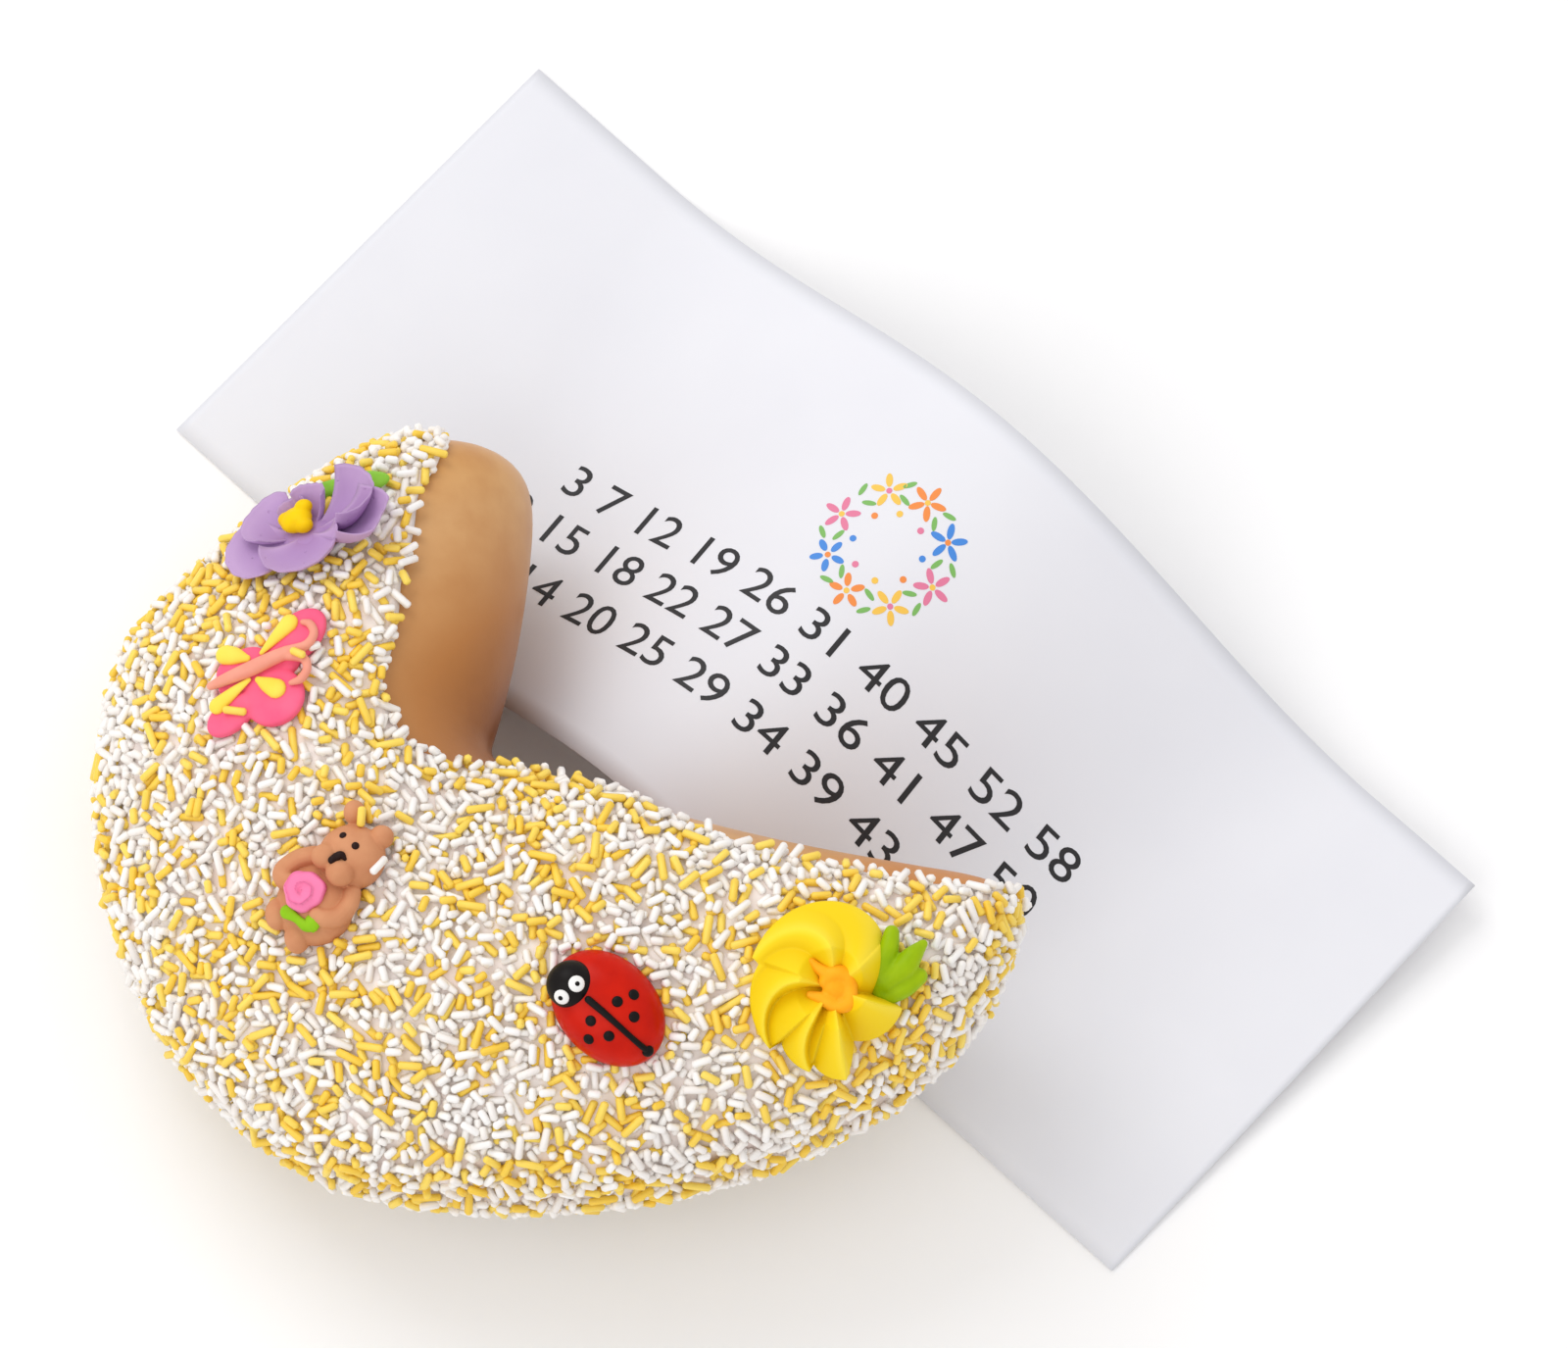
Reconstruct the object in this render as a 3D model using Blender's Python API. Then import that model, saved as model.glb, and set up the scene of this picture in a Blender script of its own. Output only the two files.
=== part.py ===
"""A giant fortune cookie: a folded, bent wafer in white coating and sprinkles, with piped icing
pieces on top and its paper message lying under both horns.

Metres, +Z up. The cookie lies on its lower shell, its notch opening towards +X and +Y.
"""

import math
import random

import bmesh
import bpy
import numpy as np
from mathutils import Matrix, Vector
from mathutils.bvhtree import BVHTree

MM = 0.001

# The fold, seen from above: two horns that meet at the crease
CREASE_AT = (-53.5 * MM, -31.5 * MM)
FOLD_HEIGHT = 39 * MM
TILT_X, TILT_Y = 0.10, -0.035
LEFT_HORN, RIGHT_HORN = 64 * MM, 106 * MM
LEFT_BEARINGS = (math.radians(164), math.radians(181))
RIGHT_BEARINGS = (math.radians(247.5), math.radians(263.5))
CORNER_RADIUS = 5 * MM

# The shells, measured from the fold out to the seam
LEFT_REACH, RIGHT_REACH = 75 * MM, 88 * MM
LEFT_TAPER, RIGHT_TAPER = (1.5, 1.55), (1.6, 1.9)
LEFT_END, RIGHT_END = 24 * MM, 5 * MM
END_POWER = 14
END_CAP = 0.3
SWELL = 0.012
NOSE_LEFT, NOSE_RIGHT = 27 * MM, 22 * MM
BODY_HALF, HORN_HALF = 34 * MM, 23 * MM
LOWER_SHARE = 1.045
CREASE_DENT, DENT_ALONG, DENT_ACROSS = 0.30, 13 * MM, 24 * MM
WALL = 3.2 * MM
SEAM_LEFT, SEAM_RIGHT = 3.0 * MM, 5.4 * MM
SEAM_DEPTH = 11 * MM
SEAM_CLOSED, SEAM_OPEN = 0.45, 0.70
RIM_ROUND = 0.7 * MM

# The coating and where it stops on the fold
COAT_INSIDE, COAT_OUTSIDE = 0.45 * MM, 2.3 * MM
CUT_CLEAR = 0.45 * MM
TOP_EDGE_LEFT, TOP_EDGE_CORNER, TOP_EDGE_RIGHT = math.radians(83), math.radians(40), math.radians(57)
UNDER_EDGE_LEFT, UNDER_EDGE_RIGHT = math.radians(72), math.radians(52)

# How finely the cookie is divided
LEFT_STEPS, CORNER_STEPS, RIGHT_STEPS = 9, 8, 12
SHELL_STEPS, NOSE_STEPS = 8, 4

# Sprinkles that stand out from a step away
SPRINKLE_COUNT = 74
SPRINKLE_RADIUS = 0.85 * MM
SPRINKLE_LENGTHS = (4.5 * MM, 7.4 * MM)
SPRINKLE_SPACING = 15 * MM
SPRINKLE_FOLD_ROOM = 27 * MM
SPRINKLE_FLOOR = 5 * MM
SPRINKLE_COVER = 0.5 * MM
SPRINKLE_SUNK = 0.25
SPRINKLE_SIDES = 5

# The paper message
SLIP_LONG, SLIP_WIDE, SLIP_THICK = 261.6 * MM, 108 * MM, 0.4 * MM
SLIP_CORNER = (-124.3 * MM, 49.8 * MM)
SLIP_BEARING = math.radians(-43.2)
SLIP_RISE = (29 * MM, 38 * MM)
SLIP_PEAK = (0.49, 0.52)
SLIP_SPREAD = (0.25, 0.38)
SLIP_CURL = 8 * MM
SLIP_STEPS = (28, 5)

# Icing pieces: the spot under each group, then its pieces in millimetres from that spot
BUTTON_GAP = 0.4 * MM
VIOLET_AT = (-94.4 * MM, 6.4 * MM)
BUTTERFLY_AT = (-103.4 * MM, -23.9 * MM)
BEAR_AT = (-92.5 * MM, -73.1 * MM)
LADYBUG_AT = (-35.3 * MM, -95.6 * MM)
DROP_FLOWER_AT = (9.6 * MM, -92.2 * MM)
GROUP_ROOM = (20, 15, 17, 14, 20)
# Each petal: bearing, length, width, lift at the tip, rise of its sides
VIOLET_PETALS = [
    (152, 15, 14, 5, 2),
    (196, 18, 17, 3, 1),
    (262, 14, 19, 4, 4),
    (338, 20, 15, 5, 5),
    (22, 18, 16, 7, 2),
    (86, 11, 12, 6, 2),
]
# Each wing: centre, radii and turn
BUTTERFLY_WINGS = [
    ((7.0, 5.9, 0.6), (7.4, 4.8, 1.9), 40),
    ((-4.6, 1.6, 0.6), (5.6, 3.2, 1.8), 22),
    ((2.6, -6.3, 0.6), (6.4, 6.2, 1.9), 0),
    ((-6.6, -8.8, 0.6), (5.8, 3.6, 1.8), 35),
]
# The low web of icing under the butterfly's body that keeps its wings in one
BUTTERFLY_WEB = ((-1.0, -0.6, 0.2), (9.0, 3.4, 1.4), 15)
BUTTERFLY_SPOTS = [
    ((3.6, 6.2, 3.0), (4.6, 1.9, 1.2), 44),
    ((-5.7, 2.9, 2.6), (3.0, 1.8, 1.1), 165),
    ((-6.2, -5.0, 2.6), (4.8, 1.8, 1.2), 36),
    ((2.3, -4.6, 3.0), (2.9, 2.1, 1.2), -35),
]
BEAR_SMALL_PARTS = [
    ((9.0, 17.2, 1.0), (2.4, 2.4, 2.4)),
    ((14.0, 12.6, 1.0), (2.6, 2.4, 2.4)),
    ((-2.6, 8.6, 3.0), (2.6, 2.2, 2.4)),
    ((-6.0, 7.2, 3.0), (2.4, 2.4, 2.4)),
    ((8.2, 0.2, 2.8), (2.4, 2.4, 2.4)),
    ((5.6, -3.2, 3.0), (2.5, 2.2, 2.4)),
    ((-7.6, -1.6, 1.6), (2.9, 2.7, 2.8)),
    ((-3.6, -6.6, 1.6), (2.8, 2.9, 2.8)),
    ((3.4, 8.4, 5.2), (2.7, 2.5, 2.2)),
    ((6.4, 5.6, 5.2), (2.7, 2.5, 2.2)),
]
# The bear's two eyes and its nose: centre and radii
BEAR_FEATURES = [
    ((6.9, 13.1, 5.2), (0.9, 0.9, 1.2)),
    ((10.0, 10.6, 6.2), (0.9, 0.9, 1.2)),
    ((5.6, 8.4, 7.0), (1.7, 1.2, 1.2)),
]
LADYBUG_FEATURES = [
    ("ladybug_eye_1", -4.9, 4.3, 1.6, "white"),
    ("ladybug_eye_2", -7.9, 1.7, 1.6, "white"),
    ("ladybug_spot_1", 3.1, 0.8, 1.1, "black"),
    ("ladybug_spot_2", 6.3, 2.2, 1.1, "black"),
    ("ladybug_spot_3", 6.4, -2.2, 1.1, "black"),
    ("ladybug_spot_4", -2.2, -3.0, 1.1, "black"),
    ("ladybug_spot_5", -2.7, -6.6, 1.1, "black"),
    ("ladybug_spot_6", 1.4, -6.0, 1.1, "black"),
]
# Each petal: bearing of its tip, half its spread, length
DROP_PETALS = [
    (66, 40, 19.0),
    (126, 30, 18.2),
    (170, 25, 18.2),
    (214, 24, 18.6),
    (251, 19, 18.8),
    (282, 20, 19.6),
    (338, 27, 15.4),
]

FINISHES = {
    "baked wafer": ((0.55, 0.29, 0.12), 0.45),
    "white coating": ((0.80, 0.72, 0.66), 0.5),
    "paper": ((0.82, 0.82, 0.86), 0.8),
    "violet": ((0.43, 0.29, 0.60), 0.55),
    "gold": ((0.88, 0.54, 0.0), 0.5),
    "leaf green": ((0.27, 0.53, 0.02), 0.5),
    "pink": ((0.94, 0.12, 0.26), 0.5),
    "peach": ((0.87, 0.35, 0.25), 0.5),
    "pale yellow": ((0.96, 0.76, 0.10), 0.5),
    "tan": ((0.58, 0.28, 0.15), 0.5),
    "rose": ((0.91, 0.21, 0.42), 0.5),
    "red": ((0.72, 0.02, 0.01), 0.35),
    "black": ((0.02, 0.01, 0.01), 0.4),
    "white": ((0.85, 0.85, 0.82), 0.4),
    "yellow": ((0.97, 0.72, 0.01), 0.5),
    "orange": ((1.0, 0.31, 0.0), 0.5),
}


def ease(value):
    value = np.clip(value, 0.0, 1.0)
    return value * value * (3 - 2 * value)


def blend(start, end, share):
    return start + (end - start) * share


# The fold line


def fold_stations():
    """Each station along the fold: which horn, how far along it, and how far round the corner."""
    left = [("left", math.sin(math.pi / 2 * (1 - i / LEFT_STEPS)), 0.0) for i in range(LEFT_STEPS)]
    corner = [("corner", 0.0, i / CORNER_STEPS) for i in range(CORNER_STEPS + 1)]
    right = [("right", math.sin(math.pi / 2 * (i + 1) / RIGHT_STEPS), 1.0) for i in range(RIGHT_STEPS)]
    return left + corner + right


def bluntness(along):
    """How full a section still is, falling from one to nothing at a horn's very end."""
    return math.sqrt(max(0.0, 1 - along**END_POWER))


def fold_point(horn, along, grown):
    """The fold's place in plan and the bearing of the section that leaves it."""
    start_left, start_right = LEFT_BEARINGS[0], RIGHT_BEARINGS[0]
    if horn == "corner":
        bearing = blend(start_left, start_right, along)
        x = CORNER_RADIUS * math.cos(bearing)
        y = CORNER_RADIUS * math.sin(bearing)
        return x, y, bearing
    if horn == "left":
        first, last = LEFT_BEARINGS
        length, turn = LEFT_HORN, -math.pi / 2
    else:
        first, last = RIGHT_BEARINGS
        length, turn = RIGHT_HORN, math.pi / 2
    bend = (last - first) / length
    gone = along * length + grown * max(0.0, 1 - bluntness(along) / END_CAP)
    bearing = first + bend * gone
    x = CORNER_RADIUS * math.cos(first) + (math.sin(bearing + turn) - math.sin(first + turn)) / bend
    y = CORNER_RADIUS * math.sin(first) - (math.cos(bearing + turn) - math.cos(first + turn)) / bend
    return x, y, bearing


def section_sizes(horn, along, round_corner, grown):
    """A section's start and end, its half height, its seam and its coating edges."""
    taper = {"left": LEFT_TAPER, "right": RIGHT_TAPER, "corner": (2, 2)}[horn]
    share = ease(round_corner)
    end = LEFT_END if horn == "left" else RIGHT_END
    reach = blend(LEFT_REACH, RIGHT_REACH, round_corner)
    narrowing = max(0.0, 1 - along ** taper[0]) ** (1 / taper[1])
    blunt = bluntness(along)
    swell = 1 - SWELL * math.sin(5 * round_corner + 3.5 * along)
    outer = end + (reach * swell - end) * narrowing
    inner = end - end * blunt
    half = blend(HORN_HALF, BODY_HALF, math.cos(math.pi / 2 * along) ** 1.5) * blunt
    seam = blend(SEAM_LEFT, SEAM_RIGHT, ease(0.5 * round_corner + 1.2 * along * (horn == "right")))
    closing = ease((blunt - SEAM_CLOSED) / (SEAM_OPEN - SEAM_CLOSED))
    opening = min(seam, 0.25 * half)
    opening = closing * max(opening - grown, 0.15 * opening)
    depth = closing * min(SEAM_DEPTH, 0.35 * (outer - inner))
    more = grown * min(1.0, blunt / END_CAP)
    top_edge = blend(TOP_EDGE_LEFT, TOP_EDGE_CORNER, round_corner**1.6)
    if horn == "right":
        top_edge = blend(TOP_EDGE_CORNER, TOP_EDGE_RIGHT, ease((along - 0.2) / 0.3))
    under_edge = blend(UNDER_EDGE_LEFT, UNDER_EDGE_RIGHT, share)
    return outer + more, inner - more, half + more, seam, opening, depth, top_edge, under_edge


def shell_curve(inner, rim, nose, half, lip, edge):
    """One shell from the coating's edge on the fold, over its crown, out to the rim."""
    nose = min(nose, 0.5 * (rim - inner))
    around = np.linspace(0, math.pi / 2, 25)
    nose_d = inner + nose * (1 - np.cos(around))
    nose_z = half * np.sin(around)
    out = np.sin(np.linspace(0, math.pi / 2, 40))[1:]
    crown_d = inner + nose + (rim - inner - nose) * out
    crown_z = lip + (half - lip) * (1 - out**2) ** (2 / 3)
    d, z = np.concatenate([nose_d, crown_d]), np.concatenate([nose_z, crown_z])
    stretch = np.concatenate([[0], np.cumsum(np.hypot(np.diff(d), np.diff(z)))])
    start = np.interp(edge, around, stretch[:25])
    return d, z, stretch, start


def section(station, grown):
    """A closed section as (distance from the fold, height) pairs: coated part, then bare part."""
    horn, along, round_corner = station
    sizes = section_sizes(horn, along, round_corner, grown)
    outer, inner, half, seam, opening, depth, top_edge, under_edge = sizes
    lip = min(seam + WALL, 0.55 * half)
    nose = blend(NOSE_LEFT, NOSE_RIGHT, round_corner)
    rim = outer - min(RIM_ROUND, 0.2 * (outer - inner))
    near_crease = 0.0 if horn == "corner" else along * (LEFT_HORN if horn == "left" else RIGHT_HORN)

    def sampled(edge, share):
        d, z, stretch, start = shell_curve(inner, rim, nose, half * share, lip, edge)
        steps = np.linspace(start, stretch[-1], SHELL_STEPS + 1)
        bare = np.linspace(0, start, NOSE_STEPS + 1)
        return [(np.interp(s, stretch, d), np.interp(s, stretch, z)) for s in (steps, bare)]

    (top_d, top_z), (top_bare_d, top_bare_z) = sampled(top_edge, 1.0)
    (low_d, low_z), (low_bare_d, low_bare_z) = sampled(under_edge, LOWER_SHARE)
    groove = [
        (outer, (lip + opening) / 2),
        (rim, opening),
        (rim - depth, 0.0),
        (rim, -opening),
        (outer, -(lip + opening) / 2),
    ]
    coated = list(zip(top_d, top_z)) + groove + list(zip(low_d[::-1], -low_z[::-1]))
    bare = list(zip(low_bare_d[::-1][1:], -low_bare_z[::-1][1:]))
    bare += list(zip(top_bare_d[1:-1], top_bare_z[1:-1]))

    def dented(pair):
        d, z = pair
        dent = CREASE_DENT * math.exp(-((near_crease / DENT_ALONG) ** 2) - (max(d, 0) / DENT_ACROSS) ** 2)
        return d, z * (1 - dent)

    return [dented(p) for p in coated], [dented(p) for p in bare]


def fold_height(x, y):
    return FOLD_HEIGHT + TILT_X * x + TILT_Y * y


def placed(station, pair, grown):
    """A section's point in space, flattened where the cookie rests on the table."""
    x, y, bearing = fold_point(station[0], station[2] if station[0] == "corner" else station[1], grown)
    x += pair[0] * math.cos(bearing)
    y += pair[0] * math.sin(bearing)
    z = max(fold_height(x, y) + pair[1], COAT_OUTSIDE - grown)
    return (x + CREASE_AT[0], y + CREASE_AT[1], z)


def cookie_rings(grown):
    """Rings of points round the cookie, one for each station, each split as coated and bare."""
    rings = []
    for station in fold_stations():
        coated, bare = section(station, grown)
        rings.append(
            (
                [placed(station, pair, grown) for pair in coated],
                [placed(station, pair, grown) for pair in bare],
            )
        )
    return rings


# Meshes and materials


def material(name, colour, roughness):
    made = bpy.data.materials.new(name)
    made.use_nodes = True
    shader = made.node_tree.nodes["Principled BSDF"]
    shader.inputs["Base Color"].default_value = (*colour, 1)
    shader.inputs["Roughness"].default_value = roughness
    made.diffuse_color = (*colour, 1)
    return made


def add_object(name, mesh_or_bm, finish=None):
    if isinstance(mesh_or_bm, bmesh.types.BMesh):
        mesh = bpy.data.meshes.new(name)
        mesh_or_bm.to_mesh(mesh)
        mesh_or_bm.free()
    else:
        mesh = mesh_or_bm
    thing = bpy.data.objects.new(name, mesh)
    bpy.context.scene.collection.objects.link(thing)
    if finish:
        mesh.materials.append(finish)
        mesh.shade_smooth()
    return thing


def closed_mesh(points, faces):
    """A bmesh of triangles with its faces pointing out and coinciding points merged."""
    bm = bmesh.new()
    corners = [bm.verts.new(p) for p in points]
    for face in faces:
        bm.faces.new([corners[i] for i in face])
    bmesh.ops.remove_doubles(bm, verts=bm.verts, dist=0.00001)
    bmesh.ops.dissolve_degenerate(bm, dist=0.00001, edges=bm.edges)
    bmesh.ops.recalc_face_normals(bm, faces=bm.faces)
    bmesh.ops.triangulate(bm, faces=bm.faces)
    return bm


def grid_faces(rows, columns, first=0, closed=False):
    faces = []
    for i in range(rows - 1):
        for j in range(columns if closed else columns - 1):
            k = (j + 1) % columns
            a, b = first + i * columns, first + (i + 1) * columns
            faces.append((a + j, a + k, b + k, b + j))
    return faces


def whole_cookie(grown):
    """The full closed form, grown outwards by a distance."""
    rings = [coated + bare for coated, bare in cookie_rings(grown)]
    rings.append([rings[-1][0]] * len(rings[0]))
    points = [p for ring in rings for p in ring]
    return closed_mesh(points, grid_faces(len(rings), len(rings[0]), closed=True))


def coating_mesh():
    """The skin between two grown forms, closed by a strip along its edge on the fold."""
    inside = [coated for coated, _ in cookie_rings(COAT_INSIDE)]
    outside = [coated for coated, _ in cookie_rings(COAT_OUTSIDE)]
    rows, columns = len(outside), len(outside[0])
    points = [p for ring in outside + inside for p in ring]
    shift = rows * columns
    faces = grid_faces(rows, columns)
    faces += [tuple(i + shift for i in face[::-1]) for face in grid_faces(rows, columns)]
    edge = [i * columns for i in range(rows)] + [i * columns + columns - 1 for i in range(rows)][::-1]
    for a, b in zip(edge, edge[1:] + edge[:1]):
        if a // columns != b // columns:
            faces.append((a, b, b + shift, a + shift))
    edge_ends = [(0, columns - 1), ((rows - 1) * columns, rows * columns - 1)]
    for a, b in edge_ends:
        points[b] = points[a]
        points[b + shift] = points[a + shift]
    return closed_mesh(points, faces)


def boolean(target, others, operation, solver="EXACT"):
    """Applies one Boolean to a target and removes the objects it used."""
    group = bpy.data.collections.new("joining")
    for other in others:
        group.objects.link(other)
    modifier = target.modifiers.new(operation.lower(), "BOOLEAN")
    modifier.operation = operation
    modifier.operand_type = "COLLECTION"
    modifier.collection = group
    modifier.solver = solver
    bpy.context.view_layer.update()
    result = bpy.data.meshes.new_from_object(target.evaluated_get(bpy.context.evaluated_depsgraph_get()))
    target.modifiers.remove(modifier)
    result.name = target.name
    target.data = result
    for other in others:
        bpy.data.objects.remove(other)
    bpy.data.collections.remove(group)
    tidy(target)


def tidy(target):
    """Keeps only the largest closed piece of a joined mesh, as triangles."""
    bm = bmesh.new()
    bm.from_mesh(target.data)
    bmesh.ops.triangulate(bm, faces=bm.faces)
    seen, pieces = set(), []
    for face in bm.faces:
        if face in seen:
            continue
        piece, queue = [], [face]
        seen.add(face)
        while queue:
            here = queue.pop()
            piece.append(here)
            for edge in here.edges:
                for other in edge.link_faces:
                    if other not in seen:
                        seen.add(other)
                        queue.append(other)
        pieces.append(piece)
    pieces.sort(key=len)
    for scrap in pieces[:-1]:
        bmesh.ops.delete(bm, geom=scrap, context="FACES")
    bm.to_mesh(target.data)
    bm.free()


# Sprinkles on the coating


def capsule(radius, length, sides):
    """A round-ended rod along X."""
    bm = bmesh.new()
    straight = length / 2 - radius
    rings = [(-straight - 0.55 * radius, 0.8), (straight + 0.55 * radius, 0.8)]
    points = [bm.verts.new((-length / 2, 0, 0))]
    for x, share in rings:
        for k in range(sides):
            turn = 2 * math.pi * k / sides
            points.append(bm.verts.new((x, radius * math.cos(turn), radius * math.sin(turn))))
    points.append(bm.verts.new((length / 2, 0, 0)))
    for k in range(sides):
        n = (k + 1) % sides
        bm.faces.new((points[0], points[1 + n], points[1 + k]))
        bm.faces.new((points[1 + k], points[1 + n], points[1 + sides + n], points[1 + sides + k]))
        bm.faces.new((points[1 + sides + k], points[1 + sides + n], points[-1]))
    return bm


def rod_place(spot, normal, turn):
    upright = normal.to_track_quat("Z", "X").to_matrix().to_4x4()
    middle = spot + normal * SPRINKLE_SUNK * SPRINKLE_RADIUS
    return Matrix.Translation(middle) @ upright @ Matrix.Rotation(turn, 4, "Z")


def sprinkle_places(skin, is_clear):
    """Places spread evenly over the coating, longest sprinkles first, clear of the icing pieces."""
    draw = random.Random(11)
    triangles = list(skin.data.loop_triangles)
    areas = np.cumsum([t.area for t in triangles])
    vertices = skin.data.vertices
    taken = []
    for _ in range(60000):
        if len(taken) == SPRINKLE_COUNT:
            break
        t = triangles[int(np.searchsorted(areas, draw.random() * areas[-1]))]
        a, b, c = (vertices[i].co for i in t.vertices)
        u, v = draw.random(), draw.random()
        if u + v > 1:
            u, v = 1 - u, 1 - v
        spot = a + (b - a) * u + (c - a) * v
        place = rod_place(spot, t.normal, draw.uniform(0, math.pi))
        far = all((place.translation - p.translation).length > SPRINKLE_SPACING for p, _ in taken)
        length = blend(SPRINKLE_LENGTHS[1], SPRINKLE_LENGTHS[0], len(taken) / SPRINKLE_COUNT)
        if far and spot.z > SPRINKLE_FLOOR and is_clear(place, t.normal, length):
            taken.append((place, length))
    return taken


def add_sprinkles(skin, icing_spots):
    core = BVHTree.FromBMesh(whole_cookie(COAT_INSIDE))
    skin.data.calc_loop_triangles()
    skin_tree = BVHTree.FromObject(skin, bpy.context.evaluated_depsgraph_get())
    least = SPRINKLE_RADIUS + SPRINKLE_COVER

    def is_clear(place, normal, length):
        middle = place.translation
        ends = [place @ Vector((x, 0, 0)) for x in (-length / 2, 0, length / 2)]
        on_outside = min(core.find_nearest(end)[3] for end in ends) > least
        blocked = skin_tree.ray_cast(middle + normal * 2 * MM, normal, SPRINKLE_SPACING)[0] is not None
        off_fold = math.dist(middle, fold_nearest(middle)) > SPRINKLE_FOLD_ROOM
        free = all((middle - spot).length > room + SPRINKLE_LENGTHS[1] for spot, room in icing_spots)
        return on_outside and not blocked and off_fold and free

    rods = []
    for i, (place, length) in enumerate(sprinkle_places(skin, is_clear)):
        rod = add_object(f"rod_{i}", capsule(SPRINKLE_RADIUS, length, SPRINKLE_SIDES))
        rod.matrix_world = place
        rods.append(rod)
    bpy.context.view_layer.update()
    boolean(skin, rods, "UNION")


def fold_nearest(spot):
    """The closest point of the fold line to a spot."""
    line = []
    for horn, along, corner in fold_stations():
        x, y, _ = fold_point(horn, corner if horn == "corner" else along, 0.0)
        line.append(Vector((x + CREASE_AT[0], y + CREASE_AT[1], fold_height(x, y))))
    return min(line, key=lambda p: (p - spot).length)


# The paper message


def slip_point(along, across):
    """A point of the slip's lower face, bowed up between the two horns that hold it down."""
    rise = blend(SLIP_RISE[0], SLIP_RISE[1], across)
    peak = blend(SLIP_PEAK[0], SLIP_PEAK[1], across)
    spread = blend(SLIP_SPREAD[0], SLIP_SPREAD[1], across)
    off = min(abs(along - peak) / spread, 1)
    cosine, sine = math.cos(SLIP_BEARING), math.sin(SLIP_BEARING)
    x = SLIP_CORNER[0] + along * SLIP_LONG * cosine - across * SLIP_WIDE * sine
    y = SLIP_CORNER[1] + along * SLIP_LONG * sine + across * SLIP_WIDE * cosine
    curl = SLIP_CURL * ease((along - 0.55) / 0.45) * across**1.5
    return (x, y, rise * math.cos(math.pi / 2 * off) ** 2 + curl)


def slip_mesh():
    long_steps, wide_steps = SLIP_STEPS
    points = []
    for lift in (0, SLIP_THICK):
        for i in range(long_steps + 1):
            for j in range(wide_steps + 1):
                x, y, z = slip_point(i / long_steps, j / wide_steps)
                points.append((x, y, z + lift))
    rows, columns = long_steps + 1, wide_steps + 1
    shift = rows * columns
    faces = []
    for a, b, c, d in grid_faces(rows, columns):
        faces += [(a, c, b), (a, d, c)]
        faces += [(a + shift, b + shift, c + shift), (a + shift, c + shift, d + shift)]
    rim = list(range(columns)) + [i * columns + columns - 1 for i in range(1, rows)]
    rim += [(rows - 1) * columns + j for j in range(columns - 2, -1, -1)]
    rim += [i * columns for i in range(rows - 2, 0, -1)]
    for a, b in zip(rim, rim[1:] + rim[:1]):
        faces += [(a, b, b + shift), (a, b + shift, a + shift)]
    return closed_mesh(points, faces)


# Icing pieces, in millimetres from the spot each group sits on


def ball(centre, radii, turn=0.0, sides=10, rings=6):
    """An ellipsoid in a group's own frame, turned about its upright axis by degrees."""
    bm = bmesh.new()
    bmesh.ops.create_uvsphere(bm, u_segments=sides, v_segments=rings, radius=1)
    place = Matrix.Translation(Vector(centre) * MM) @ Matrix.Rotation(math.radians(turn), 4, "Z")
    bmesh.ops.transform(bm, matrix=place @ Matrix.Diagonal((*(Vector(radii) * MM), 1)), verts=bm.verts)
    return bm


def rope(path, radii, grown=0.0, sides=6):
    """A piped line through the path's points, thick as its radii say, with closed ends."""
    bm = bmesh.new()
    rings = []
    points = [Vector(p) * MM for p in path]
    for i, point in enumerate(points):
        along = (points[min(i + 1, len(points) - 1)] - points[max(i - 1, 0)]).normalized()
        side = Vector((0, 0, 1)).cross(along).normalized()
        up = along.cross(side)
        radius = (radii[i] + grown) * MM
        ring = []
        for k in range(sides):
            turn = 2 * math.pi * k / sides
            ring.append(bm.verts.new(point + side * radius * math.cos(turn) + up * radius * math.sin(turn)))
        rings.append(ring)
    for a, b in zip(rings, rings[1:]):
        for k in range(sides):
            n = (k + 1) % sides
            bm.faces.new((a[k], a[n], b[n], b[k]))
    bm.faces.new(rings[0][::-1])
    bm.faces.new(rings[-1])
    bmesh.ops.recalc_face_normals(bm, faces=bm.faces)
    return bm


def petal(bearing, length, width, lift, cup, start=(0.0, 0.0, 0.0), thick=1.7, ruffle=0.0):
    """A thin curved leaf of icing: both faces follow the same grid, one a thickness below."""
    rows, columns = 4, 4
    points = []
    for drop in (0, thick):
        for i in range(rows + 1):
            u = i / rows
            for j in range(columns + 1):
                v = 2 * j / columns - 1
                across = 0.5 * width * math.sin(math.pi * (0.14 + 0.70 * u)) ** 0.7 * v
                out = length * u - 0.22 * width * u * v * v
                up = 2.0 + lift * u * u + cup * v * v * math.sin(math.pi * u * 0.85)
                up += ruffle * u * math.sin(2.5 * math.pi * v)
                points.append(Vector((out, across, up - drop)))
    turn = Matrix.Rotation(math.radians(bearing), 4, "Z")
    points = [(turn @ p + Vector(start)) * MM for p in points]
    step = columns + 1
    shift = (rows + 1) * step
    faces = grid_faces(rows + 1, step)
    faces += [tuple(i + shift for i in face[::-1]) for face in faces]
    rim = list(range(step)) + [i * step + columns for i in range(1, rows + 1)]
    rim += [rows * step + j for j in range(columns - 1, -1, -1)]
    rim += [i * step for i in range(rows - 1, 0, -1)]
    faces += [(a, b, b + shift, a + shift) for a, b in zip(rim, rim[1:] + rim[:1])]
    return closed_mesh(points, faces)


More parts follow.
